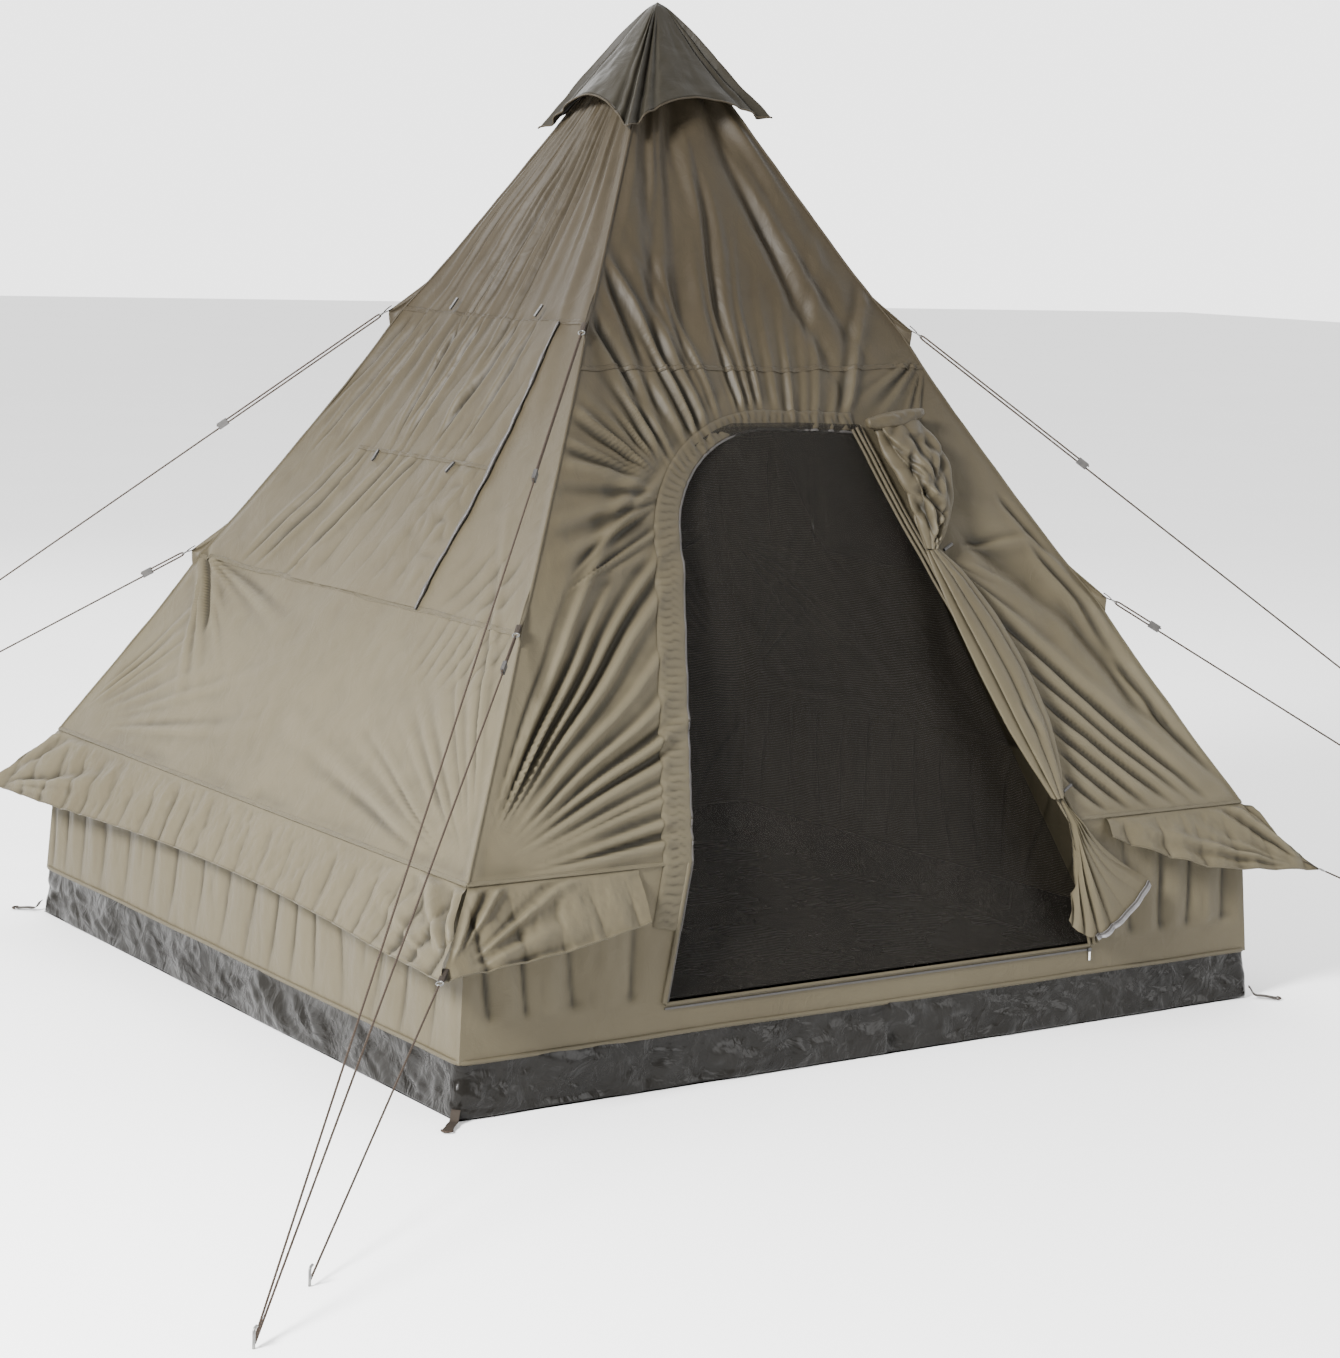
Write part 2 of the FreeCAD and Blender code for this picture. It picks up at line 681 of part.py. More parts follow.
# ---------------------------------------------------------------- guy points
cornerSigns = {"front_left": (-1, -1), "front_right": (1, -1), "back_right": (1, 1), "back_left": (-1, 1)}
eaveDiagonal = FreeCAD.Vector(eaveHalfX.number, eaveHalfY.number, 0).Length


def outwards(corner):
    signX, signY = cornerSigns[corner]
    return FreeCAD.Vector(signX * eaveHalfX.number, signY * eaveHalfY.number, 0).normalize()


def ridgePoint(corner, height):
    reach = eaveDiagonal * (size("apex_height") - height) / roofRise.number
    return outwards(corner) * reach + FreeCAD.Vector(0, 0, height)


def tabPlane(corner, height):
    """The upright plane through the ridge, its x axis pointing outwards."""
    out = outwards(corner)
    sideways = out.cross(FreeCAD.Vector(0, 0, 1))
    turn = FreeCAD.Rotation(out, FreeCAD.Vector(0, 0, 1), sideways, "ZXY")
    half = sideways * (-size("cloth") / 2)
    return FreeCAD.Placement(ridgePoint(corner, height) + half, turn)


ridgeSlope = dim(eaveDiagonal / roofRise.number)
tabOutline = [
    (-ridgeSlope * cell("tab_above") + 2.5, cell("tab_above")),
    (cell("tab_reach"), dim(0.0)),
    (ridgeSlope * cell("tab_below") + 2.5, -cell("tab_below")),
]
tabHeights = {"upper": size("tab_high"), "middle": size("tab_low")}
tabs = []
for corner in cornerSigns:
    for level, height in tabHeights.items():
        tabs.append(clothPanel("Tab_%s_%s" % (corner, level), tabOutline, tabPlane(corner, height)))
keep(joined("GuyTabs", tabs), "guy_tabs")


def guyPoint(corner, level):
    """Where the rope leaves the tent: the tab's tip or the skirt's tip."""
    if level == "eave":
        signX, signY = cornerSigns[corner]
        tip = FreeCAD.Vector(signX * (eaveHalfX.number + size("skirt_reach")),
                             signY * (eaveHalfY.number + size("skirt_reach")),
                             size("eave_height") - size("skirt_drop"))
        return tip + outwards(corner) * 6.0
    height = tabHeights[level]
    return ridgePoint(corner, height) + outwards(corner) * size("tab_reach")


def pegPoint(corner, level):
    signX, signY = cornerSigns[corner]
    base = FreeCAD.Vector(signX * baseX.number, signY * baseY.number, 0)
    reach = size("peg_near") if level == "eave" else size("peg_far")
    return base + FreeCAD.Vector(signX, signY, 0) * reach


def ropeLine(corner, level):
    """The ring's outer wire, the rope's direction and the upward normal in its upright plane."""
    start = guyPoint(corner, level)
    end = pegPoint(corner, level) + FreeCAD.Vector(0, 0, size("rope_end_height"))
    if level == "upper":
        end = end + FreeCAD.Vector(0, 0, 12.0)
    end = end - outwards(corner) * (size("peg_radius") + 1.0)
    along = (end - start).normalize()
    wire = start + along * (2 * size("ring_radius") + size("ring_wire") + 1.0)
    sideways = along.cross(FreeCAD.Vector(0, 0, 1)).normalize()
    above = sideways.cross(along)
    return wire, end, along, above


rings = []
for corner in cornerSigns:
    for level in ("upper", "middle", "eave"):
        wire, end, along, above = ropeLine(corner, level)
        ring = doc.addObject("Part::Torus", "Ring_%s_%s" % (corner, level))
        ring.setExpression("Radius1", "Sizes.ring_radius")
        ring.setExpression("Radius2", "Sizes.ring_wire")
        turn = FreeCAD.Rotation(FreeCAD.Vector(0, 0, 1), above)
        ring.Placement = FreeCAD.Placement(wire - along * size("ring_radius"), turn)
        rings.append(ring)
keep(joined("GuyRings", rings), "guy_rings")


# ---------------------------------------------------------------- ropes and runners
def doubledRope(corner, level, doubled):
    """A rope that leaves its runner, turns round the ring and runs down to the peg."""
    wire, end, along, above = ropeLine(corner, level)
    offset = size("strand_offset")
    topStart = wire + along * doubled + above * offset
    topEnd = wire + above * offset
    turnPoint = wire - along * offset
    lowStart = wire - above * offset
    lowEnd = end - above * offset
    edges = [
        Part.LineSegment(topStart, topEnd).toShape(),
        Part.Arc(topEnd, turnPoint, lowStart).toShape(),
        Part.LineSegment(lowStart, lowEnd).toShape(),
    ]
    path = Part.Wire(edges)
    section = Part.Wire([Part.Circle(topStart, along, size("rope_radius")).toShape()])
    rope = doc.addObject("Part::Feature", "Rope_%s_%s" % (corner, level))
    rope.Shape = path.makePipeShell([section], True, True)
    expected = math.pi * size("rope_radius") ** 2 * path.Length
    print("rope %s %s: length %.1f, volume ratio %.4f, turn radius %.1f" % (
        corner, level, path.Length, rope.Shape.Volume / expected, offset))
    return rope


def singleRope(corner):
    wire, end, along, above = ropeLine(corner, "eave")
    rope = doc.addObject("Part::Cylinder", "Rope_%s_eave" % corner)
    start = wire + along * (size("ring_wire") + 0.5)
    rope.setExpression("Radius", "Sizes.rope_radius")
    rope.Height = (end - start).Length
    rope.Placement = FreeCAD.Placement(start, FreeCAD.Rotation(FreeCAD.Vector(0, 0, 1), along))
    print("rope %s eave: length %.1f" % (corner, (end - start).Length))
    return rope


def runner(corner, level, distance):
    """A line tensioner: a small block with one bore for each strand."""
    wire, end, along, above = ropeLine(corner, level)
    name = "Runner_%s_%s" % (corner, level)
    sideways = along.cross(above)
    turn = FreeCAD.Rotation(along, above, sideways, "ZXY")
    block = doc.addObject("Part::Box", name + "Block")
    block.setExpression("Length", "Sizes.runner_length")
    block.setExpression("Width", "Sizes.runner_height")
    block.setExpression("Height", "Sizes.runner_width")
    corner0 = wire + along * distance
    corner0 = corner0 - above * (size("runner_height") / 2) - sideways * (size("runner_width") / 2)
    block.Placement = FreeCAD.Placement(corner0, turn)
    bores = []
    for side in (-1, 1):
        bore = doc.addObject("Part::Cylinder", "%sBore%d" % (name, side + 1))
        bore.setExpression("Radius", "Sizes.rope_radius + Sizes.bore_gap")
        bore.setExpression("Height", "Sizes.runner_length + 4")
        start = wire + along * (distance - 2) + above * (side * size("strand_offset"))
        bore.Placement = FreeCAD.Placement(start, FreeCAD.Rotation(FreeCAD.Vector(0, 0, 1), along))
        bores.append(bore)
    both = doc.addObject("Part::MultiFuse", name + "Bores")
    both.Shapes = bores
    return hollow(name, block, both)


runnerPlace = {"upper": size("runner_far"), "middle": size("runner_near")}
for corner in cornerSigns:
    for level, distance in runnerPlace.items():
        doubled = distance + size("runner_length") + 4.0
        keep(doubledRope(corner, level, doubled), "guy_rope_%s_%s" % (corner, level))
        keep(runner(corner, level, distance), "runner_%s_%s" % (corner, level))
    keep(singleRope(corner), "guy_rope_%s_eave" % corner)


# ---------------------------------------------------------------- pegs and peg loops
def peg(corner, level):
    """The head of a driven peg: a steel rod that comes up and bends over towards the tent."""
    foot = pegPoint(corner, level)
    inwards = -outwards(corner)
    bend = size("peg_bend")
    top = foot + FreeCAD.Vector(0, 0, size("peg_height") - size("peg_radius"))
    bendStart = top - FreeCAD.Vector(0, 0, bend)
    bendEnd = top + inwards * bend
    lean = math.sqrt(0.5) * bend
    bendMiddle = bendStart + inwards * (bend - lean) + FreeCAD.Vector(0, 0, lean)
    edges = [
        Part.LineSegment(foot, bendStart).toShape(),
        Part.Arc(bendStart, bendMiddle, bendEnd).toShape(),
        Part.LineSegment(bendEnd, bendEnd + inwards * size("peg_hook")).toShape(),
    ]
    upwards = FreeCAD.Vector(0, 0, 1)
    section = Part.Wire([Part.Circle(foot, upwards, size("peg_radius")).toShape()])
    head = doc.addObject("Part::Feature", "Peg_%s_%s" % (corner, level))
    head.Shape = Part.Wire(edges).makePipeShell([section], True, True)
    return head


pegs = [peg(corner, level) for corner in cornerSigns for level in ("upper", "eave")]
keep(joined("Pegs", pegs), "pegs")

loops = []
for corner in cornerSigns:
    signX, signY = cornerSigns[corner]
    out = FreeCAD.Vector(signX, signY, 0).normalize()
    strap = doc.addObject("Part::Box", "PegLoop_" + corner)
    strap.setExpression("Length", "Sizes.webbing_length")
    strap.setExpression("Width", "Sizes.webbing_width")
    strap.setExpression("Height", "Sizes.cloth * 1.5")
    turn = FreeCAD.Rotation(FreeCAD.Vector(1, 0, 0), out)
    base = FreeCAD.Vector(signX * baseX.number, signY * baseY.number, 2.0) + out * 18.0
    half = turn.multVec(FreeCAD.Vector(0, -size("webbing_width") / 2, 0))
    strap.Placement = FreeCAD.Placement(base + half, turn)
    loops.append(strap)
keep(joined("PegLoops", loops), "peg_loops")


# ---------------------------------------------------------------- check and write
doc.recompute()
faults = []
for item in doc.Objects:
    if "Invalid" in item.State or "Error" in item.State:
        faults.append("%s: %s" % (item.Name, item.State))
for part in subParts:
    if part.Shape.isNull() or not part.Shape.isValid():
        faults.append("%s: bad shape" % part.Label)
if faults:
    raise SystemExit("\n".join(faults))

os.makedirs("parts", exist_ok=True)
for part in subParts:
    box = part.Shape.BoundBox
    print("%-28s solids %2d volume %11.0f  z %7.1f..%7.1f" % (
        part.Label, len(part.Shape.Solids), part.Shape.Volume, box.ZMin, box.ZMax))
    part.Shape.exportStep("parts/%s.step" % part.Label)
print("%d nodes" % len(subParts))
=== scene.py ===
import math
import bpy
import numpy as np
from mathutils import Matrix, Vector


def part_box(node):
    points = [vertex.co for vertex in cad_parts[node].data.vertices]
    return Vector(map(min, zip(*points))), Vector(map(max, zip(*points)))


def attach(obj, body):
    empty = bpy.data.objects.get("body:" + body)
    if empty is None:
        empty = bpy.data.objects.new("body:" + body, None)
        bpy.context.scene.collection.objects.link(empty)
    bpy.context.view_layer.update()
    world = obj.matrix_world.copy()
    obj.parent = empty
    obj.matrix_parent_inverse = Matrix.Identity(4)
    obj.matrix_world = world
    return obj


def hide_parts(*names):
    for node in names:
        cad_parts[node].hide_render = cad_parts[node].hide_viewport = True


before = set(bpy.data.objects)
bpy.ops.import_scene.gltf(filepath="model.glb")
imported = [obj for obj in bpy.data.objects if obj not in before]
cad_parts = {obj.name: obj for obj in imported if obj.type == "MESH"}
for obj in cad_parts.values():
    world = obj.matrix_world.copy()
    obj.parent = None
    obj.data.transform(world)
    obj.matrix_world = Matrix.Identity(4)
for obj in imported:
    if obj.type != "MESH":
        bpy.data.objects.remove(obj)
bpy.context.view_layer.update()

# sizes of the tent, in metres, partly read from the frame
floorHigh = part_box("groundsheet")[1]
tent = {
    "halfX": floorHigh.x - 0.002,
    "halfY": floorHigh.y - 0.002,
    "tubTop": floorHigh.z,
    "eave": 0.625,
    "lean": 0.039,
    "peak": 3.038,
    "canopyTop": 3.0,
    "frontSeam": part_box("canopy_front_upper")[0].z,
    "sideSeamHigh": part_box("canopy_left_upper")[0].z,
    "sideSeamLow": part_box("canopy_left_middle")[0].z,
    "skirtReach": 0.173,
    "skirtDrop": 0.193,
}
rise = tent["peak"] - tent["eave"]
eaveX = tent["halfX"] - tent["lean"]
eaveY = tent["halfY"] - tent["lean"]
clothSlot = "olive_polyester"
faceTurn = {"front": 0.0, "right": math.pi / 2, "back": math.pi, "left": 1.5 * math.pi}
up3 = np.array([0.0, 0.0, 1.0])


# smooth steps, noise and folds, all on whole arrays
def arrays(*values):
    # floats of one common shape
    return np.broadcast_arrays(*(np.asarray(v, float) for v in values))


def pairs(first, second):
    return np.stack(np.broadcast_arrays(first, second), -1)


def unit(v):
    return v / np.maximum(np.linalg.norm(v, axis=-1, keepdims=True), 1e-9)


def distances(points):
    # how far each point lies along its line
    steps = np.linalg.norm(np.diff(points, axis=0), axis=1)
    return np.concatenate([[0], np.cumsum(steps)])


def hump(t):
    # 0 at both ends, 1 half way
    return np.sin(np.pi * np.clip(t, 0, 1))


def smooth(low, high, x):
    # 0 below low, 1 above high, 3t^2 - 2t^3 between
    t = np.clip((x - low) / (high - low), 0, 1)
    return t * t * (3 - 2 * t)


def noise(x, y, size, seed):
    # random heights on a square lattice, joined by smooth steps: -1 to 1
    table = np.random.RandomState(seed).uniform(-1, 1, (64, 64))
    px, py = x / size, y / size
    ix, iy = np.floor(px).astype(int), np.floor(py).astype(int)
    fx, fy = px - ix, py - iy
    fx, fy = fx * fx * (3 - 2 * fx), fy * fy * (3 - 2 * fy)
    a, b = table[ix % 64, iy % 64], table[(ix + 1) % 64, iy % 64]
    c, d = table[ix % 64, (iy + 1) % 64], table[(ix + 1) % 64, (iy + 1) % 64]
    return (a * (1 - fx) + b * fx) * (1 - fy) + (c * (1 - fx) + d * fx) * fy


def roughNoise(x, y, size, seed, octaves=3):
    # noise plus half as much at half the size, and so on
    total = 0.0
    for k in range(octaves):
        total = total + noise(x, y, size / 2 ** k, seed + k) / 2 ** k
    return total


def crease(x, y, start, end, width, depth):
    # a valley from start to end, its lips raised: depth * (lips - exp(-(d/w)^2)), fading at
    # both ends
    sx, sy = start
    ex, ey = end
    length = math.hypot(ex - sx, ey - sy)
    ux, uy = (ex - sx) / length, (ey - sy) / length
    t = ((x - sx) * ux + (y - sy) * uy) / length
    d = -(x - sx) * uy + (y - sy) * ux
    w = width * (0.7 + 0.3 * np.sin(np.pi * np.clip(t, 0, 1)))
    d = d + 0.4 * width * noise(t * length, d * 0, 0.22, 41)
    ends = smooth(-0.08, 0.26, t) * smooth(1.08, 0.62, t)
    lips = 0.40 * np.exp(-((np.abs(d) - 2.1 * w) / (1.3 * w)) ** 2)
    return depth * ends * (lips - np.exp(-(d / w) ** 2))


def paintedShadingMask(lift, reach, depth):
    # how far each point lies below the mean of its neighbours: 0 on the flat, 1 at the given depth;
    # the mask for painted shade in fold hollows and painted highlight on fold crests
    wide = np.pad(lift, reach, mode="edge")
    total = wide.cumsum(0).cumsum(1)
    total = np.pad(total, ((1, 0), (1, 0)))
    n = 2 * reach + 1
    mean = (total[n:, n:] - total[:-n, n:] - total[n:, :-n] + total[:-n, :-n]) / (n * n)
    return np.clip((mean - lift) / depth, -1, 1)


def fan(x, y, centre, low, high, count, inner, reach, height, seed):
    # folds that spread from a point: a pinched wave over the angle, each one with its own
    # reach and strength, growing round the inner radius and dying away at its reach
    random = np.random.RandomState(seed)
    dx, dy = x - centre[0], y - centre[1]
    r = np.hypot(dx, dy)
    middle = math.radians(low + high) / 2
    angle = np.angle(np.exp(1j * (np.arctan2(dy, dx) - middle))) + middle
    angle = angle + 0.02 * noise(dx, dy, 0.35, seed + 2)
    total = np.zeros_like(x)
    step = math.radians(high - low) / count
    for k in range(count):
        at = math.radians(low) + step * (k + 0.5 + random.uniform(-0.40, 0.40))
        far = reach * random.uniform(0.55, 1.15)
        near = inner * random.uniform(0.6, 1.3)
        strong = height * random.uniform(0.25, 1.2)
        thin = step * random.uniform(0.16, 0.42)
        d = angle - at
        wave = np.exp(-(d / thin) ** 2) - 0.5 * np.exp(-((d - 1.6 * thin) / thin) ** 2)
        total += strong * wave * smooth(near * 0.5, near * 1.5, r) * smooth(far, far * 0.35, r)
    return total


def pleats(x, y, turn, gap, height, seed, wander=0.35, sharp=2.0):
    # parallel folds at an angle: |cos| to a power, its phase pushed about by noise
    a = math.radians(turn)
    along, across = x * math.cos(a) + y * math.sin(a), -x * math.sin(a) + y * math.cos(a)
    phase = across / gap + wander * noise(along, across, gap * 7, seed)
    wave = np.abs(np.cos(np.pi * phase)) ** sharp
    strength = 0.6 + 0.4 * noise(along, across, gap * 4, seed + 5)
    return height * wave * strength


def within(x, y, left, right, low, high, soft=0.08):
    # 1 inside a rectangle, fading out over a soft edge
    return (smooth(left - soft, left + soft, x) * smooth(right + soft, right - soft, x)
            * smooth(low - soft, low + soft, y) * smooth(high + soft, high - soft, y))


# planes of the tent: across the face, and up or down its slope
def faceAxes(face):
    # along the eave, outwards, from the middle out to the eave, and half the eave's length
    a = faceTurn[face]
    along = np.array([math.cos(a), math.sin(a), 0.0])
    out = np.array([math.sin(a), -math.cos(a), 0.0])
    run, half = (eaveY, eaveX) if face in ("front", "back") else (eaveX, eaveY)
    return along, out, run, half


def slopeLength(face):
    return math.hypot(rise, faceAxes(face)[2])


def upAt(face, height):
    return (height - tent["eave"]) * slopeLength(face) / rise


def roofHalf(face, up):
    return faceAxes(face)[3] * (1 - up / slopeLength(face))


def slopeAxes(face):
    # the outward normal of the roof face, and up its slope
    out, run = faceAxes(face)[1:3]
    length = slopeLength(face)
    return out * rise / length + up3 * run / length, -out * run / length + up3 * rise / length


def roofPoint(face, x, up, lift=0.0):
    # eave line + across + up the slope + lift along the outward normal
    along, out, run = faceAxes(face)[:3]
    x, up, lift = (v[..., None] for v in arrays(x, up, lift))
    share = up / slopeLength(face)
    return (out * (run * (1 - share)) + up3 * (tent["eave"] + rise * share)
            + along * x + slopeAxes(face)[0] * lift)


def wallPoint(face, x, height, lift=0.0):
    along, out, run = faceAxes(face)[:3]
    tall = math.hypot(tent["eave"], tent["lean"])
    normal = out * tent["eave"] / tall + up3 * tent["lean"] / tall
    x, height, lift = (v[..., None] for v in arrays(x, height, lift))
    reach = run + tent["lean"] * (1 - height / tent["eave"])
    return out * reach + up3 * height + along * x + normal * lift


def doorLow(z):
    # half the doorway's width in the wall
    door = doorway
    share = (tent["eave"] - z) / (tent["eave"] - door["sill"])
    return door["halfEave"] + (door["halfSill"] - door["halfEave"]) * share


def doorHigh(z, across, height):
    # straight from the eave to a point that far across, at that height
    share = (z - tent["eave"]) / (height - tent["eave"])
    return doorway["halfEave"] + (across - doorway["halfEave"]) * share


def doorLeft(z):
    # the zip side: straight to the shoulder, then a curve to the top of the arch
    door = doorway
    t = np.clip((z - door["shoulder"]) / (door["top"] - door["shoulder"]), 0, 1)
    high = door["shoulderX"] - (door["shoulderX"] + 0.02) * (1 - (1 - t ** 1.9) ** 0.62)
    middle = doorHigh(z, door["shoulderX"], door["shoulder"])
    return -np.where(z < tent["eave"], doorLow(z), np.where(z < door["shoulder"], middle, high))


def doorRight(z):
    # the hinge side: straight all the way to the top corner
    high = doorHigh(z, doorway["cornerX"], doorway["corner"])
    return np.where(z < tent["eave"], doorLow(z), high)


doorway = {
    "halfSill": 0.784,
    "halfEave": 0.700,
    "shoulderX": 0.455,
    "shoulder": 1.410,
    "top": 1.780,
    "cornerX": 0.310,
    "corner": 1.768,
    "sill": 0.240,
}


# meshes from arrays
def arrayMesh(name, points, faceSets, uv=None, material=None):
    # each set is an array of faces with the same number of corners
    loops = np.concatenate([faces.ravel() for faces in faceSets]).astype(np.int32)
    sizes = np.concatenate([np.full(len(faces), faces.shape[1]) for faces in faceSets])
    starts = np.concatenate([[0], np.cumsum(sizes)[:-1]]).astype(np.int32)
    mesh = bpy.data.meshes.new(name)
    mesh.vertices.add(len(points))
    mesh.vertices.foreach_set("co", np.asarray(points, np.float32).ravel())
    mesh.loops.add(len(loops))
    mesh.loops.foreach_set("vertex_index", loops)
    mesh.polygons.add(len(starts))
    mesh.polygons.foreach_set("loop_start", starts)
    mesh.polygons.foreach_set("use_smooth", np.full(len(starts), True))
    if uv is not None:
        layer = mesh.uv_layers.new(name="cut")
        layer.data.foreach_set("uv", np.asarray(uv, np.float32)[loops].ravel())
    mesh.update(calc_edges=True)
    mesh.validate()
    piece = bpy.data.objects.new(name, mesh)
    bpy.context.scene.collection.objects.link(piece)
    if material is not None:
        mesh.materials.append(material)
    return piece


def gridFaces(rows, columns, closeRows=False, closeColumns=False, keepMask=None):
    r = np.arange(rows if closeRows else rows - 1)
    c = np.arange(columns if closeColumns else columns - 1)
    r, c = np.meshgrid(r, c, indexing="ij")
    r2, c2 = (r + 1) % rows, (c + 1) % columns
    quads = np.stack([r * columns + c, r * columns + c2, r2 * columns + c2, r2 * columns + c], -1)
    quads = quads.reshape(-1, 4)
    if keepMask is not None:
        quads = quads[keepMask.reshape(-1)]
    return quads


def gridPiece(name, points, uv=None, material=None, closeRows=False, closeColumns=False,
              keepMask=None, thick=0.0, flip=False, paintedShading=None):
    # a two-parameter surface: rows by columns of points
    rows, columns = points.shape[:2]
    faces = gridFaces(rows, columns, closeRows, closeColumns, keepMask)
    if flip:
        faces = faces[:, ::-1]
    flat = points.reshape(-1, 3)
    uv = None if uv is None else uv.reshape(-1, 2)
    if keepMask is not None:
        used = np.unique(faces)
        renumber = np.zeros(len(flat), int)
        renumber[used] = np.arange(len(used))
        faces, flat = renumber[faces], flat[used]
        uv = None if uv is None else uv[used]
        paintedShading = None if paintedShading is None else paintedShading.reshape(-1)[used]
    piece = arrayMesh(name, flat, [faces], uv, material)
    # kept on each point for the cloth shader, which paints shade into the fold hollows and
    # highlight onto the fold crests from it
    if paintedShading is not None:
        shade = piece.data.attributes.new("paintedShading", "FLOAT", "POINT")
        shade.data.foreach_set("value", np.asarray(paintedShading, np.float32).ravel())
    if thick:
        solid = piece.modifiers.new("thickness", "SOLIDIFY")
        solid.thickness = thick
        solid.offset = 0.0
        solid.use_even_offset = False
    return piece


def sweep(name, path, radius, sides=10, upright=(0, 0, 1), material=None, flatten=1.0):
    # rings of points carried along a path, closed at both ends; the uv map runs along it and
    # round it, in metres and in turns
    path = np.asarray(path, float)
    radius = np.broadcast_to(np.asarray(radius, float), (len(path),))
    tangent = unit(np.gradient(path, axis=0))
    side = unit(np.cross(tangent, np.asarray(upright, float)))
    above = np.cross(side, tangent)
    turn = np.linspace(0, 2 * np.pi, sides, endpoint=False)
    ring = (np.cos(turn)[None, :, None] * side[:, None]
            + flatten * np.sin(turn)[None, :, None] * above[:, None])
    points = path[:, None] + ring * radius[:, None, None]
    far = distances(path)
    uv = pairs(far[:, None], (turn / (2 * np.pi))[None])
    count, lastRing = len(path) * sides, (len(path) - 1) * sides
    flat = np.concatenate([points.reshape(-1, 3), path[:1], path[-1:]])
    flatUv = np.concatenate([uv.reshape(-1, 2), [[0, 0], [far[-1], 0]]])
    k = np.arange(sides)
    k2 = (k + 1) % sides
    first = np.stack([np.full(sides, count), k, k2], -1)
    last = np.stack([np.full(sides, count + 1), lastRing + k2, lastRing + k], -1)
    quads = gridFaces(len(path), sides, closeColumns=True)[:, ::-1]
    return arrayMesh(name, flat, [quads, np.concatenate([first, last])], flatUv, material)


def tape(name, centre, side, width, normal, thick, material, pucker=0.0, seed=1):
    # a flat strip along a line: width across side, raised by thick, its edges turned down
    centre, side, normal = arrays(centre, side, normal)
    far = distances(centre)
    w = np.array([-0.5, -0.49, -0.3, -0.27, 0.0, 0.27, 0.3, 0.49, 0.5])
    lift = np.array([-0.3, 0.75, 1.0, 0.8, 1.0, 0.8, 1.0, 0.75, -0.3])
    wave = pucker * noise(far[:, None] + 0 * w, 0.6 * w[None, :] + 0 * far[:, None], 0.02, seed)
    points = (centre[:, None] + side[:, None] * (w * width)[None, :, None]
              + normal[:, None] * (thick * lift[None, :] + wave)[..., None])
    return gridPiece(name, points, pairs(far[:, None], (w * width)[None]), material)


# shader parts
def effectGroup(name, knob, value, output):
    # a node group with a vector and one number going in, and one number coming out
    group = bpy.data.node_groups.new(name, "ShaderNodeTree")
    group.interface.new_socket("Vector", in_out="INPUT", socket_type="NodeSocketVector")
    number = group.interface.new_socket(knob, in_out="INPUT", socket_type="NodeSocketFloat")
    number.default_value = value
    group.interface.new_socket(output, in_out="OUTPUT", socket_type="NodeSocketFloat")
    given = group.nodes.new("NodeGroupInput").outputs
    return group, given["Vector"], given[knob], group.nodes.new("NodeGroupOutput").inputs[output]


def feed(tree, value, socket):
    # a number, a colour or a link into a socket
    if isinstance(value, (int, float)):
        socket.default_value = value
    elif isinstance(value, (tuple, list)):
        socket.default_value = (*value, 1.0)
    else:
        tree.links.new(value, socket)


def mathNode(tree, operation, first, second=None):
    node = tree.nodes.new("ShaderNodeMath")
    node.operation = operation
    feed(tree, first, node.inputs[0])
    if second is not None:
        feed(tree, second, node.inputs[1])
    return node.outputs[0]


def mapRange(tree, value, low, high, start=0.0, end=1.0):
    node = tree.nodes.new("ShaderNodeMapRange")
    for key, number in (("From Min", low), ("From Max", high), ("To Min", start), ("To Max", end)):
        node.inputs[key].default_value = number
    tree.links.new(value, node.inputs["Value"])
    return node.outputs[0]


def noiseNode(tree, vector, scale, detail=3.0, rough=0.55, distortion=0.0):
    node = tree.nodes.new("ShaderNodeTexNoise")
    for key, value in (("Vector", vector), ("Scale", scale), ("Detail", detail),
                       ("Roughness", rough), ("Distortion", distortion)):
        feed(tree, value, node.inputs[key])
    return node.outputs[0]


def makeWeave():
    # warp and weft threads: crossed sine bands
    group, vector, threads, height = effectGroup("weave", "Threads", 900.0, "Height")
    split = group.nodes.new("ShaderNodeSeparateXYZ")
    group.links.new(vector, split.inputs[0])
    bands = [mathNode(group, "SINE", mathNode(group, "MULTIPLY", split.outputs[axis], threads))
             for axis in ("X", "Y", "Z")]
    crossed = mathNode(group, "ADD", mathNode(group, "MULTIPLY", bands[0], bands[2]), bands[1])
    group.links.new(crossed, height)
    return group


def makeCrumple():
    # fine creases: stretched noise with its ridges sharpened, over a softer swell
    group, vector, size, height = effectGroup("crumple", "Size", 12.0, "Height")
    first = noiseNode(group, vector, size, 4.0, 0.5, 0.8)
    ridge = mathNode(group, "ABSOLUTE", mathNode(group, "SUBTRACT", first, 0.5))
    sharp = mathNode(group, "SUBTRACT", 1.0, mathNode(group, "MULTIPLY", ridge, 5.0))
    swell = noiseNode(group, vector, 3.0, 2.0)
    total = mathNode(group, "ADD", mathNode(group, "MULTIPLY", sharp, 0.5), swell)
    group.links.new(total, height)
    return group


def makePatina():
    # slow drift of tone over the surface, as on handled cloth: a mask from 0 to 1
    group, vector, scale, mask = effectGroup("patina", "Scale", 1.6, "Mask")
    slow = noiseNode(group, vector, scale, 3.0, 0.6)
    group.links.new(mapRange(group, slow, 0.3, 0.7), mask)
    return group


weaveGroup = makeWeave()
crumpleGroup = makeCrumple()
patinaGroup = makePatina()


def placeGroup(tree, group, vector, knob, value):
    # the group's one output, with its vector linked and its number set
    node = tree.nodes.new("ShaderNodeGroup")
    node.node_tree = group
    tree.links.new(vector, node.inputs["Vector"])
    node.inputs[knob].default_value = value
    return node.outputs[0]


def newMaterial(name):
    material = bpy.data.materials.new(name)
    material.use_nodes = True
    tree = material.node_tree
    shader = tree.nodes["Principled BSDF"]
    place = tree.nodes.new("ShaderNodeTexCoord")
    return material, tree, shader, place


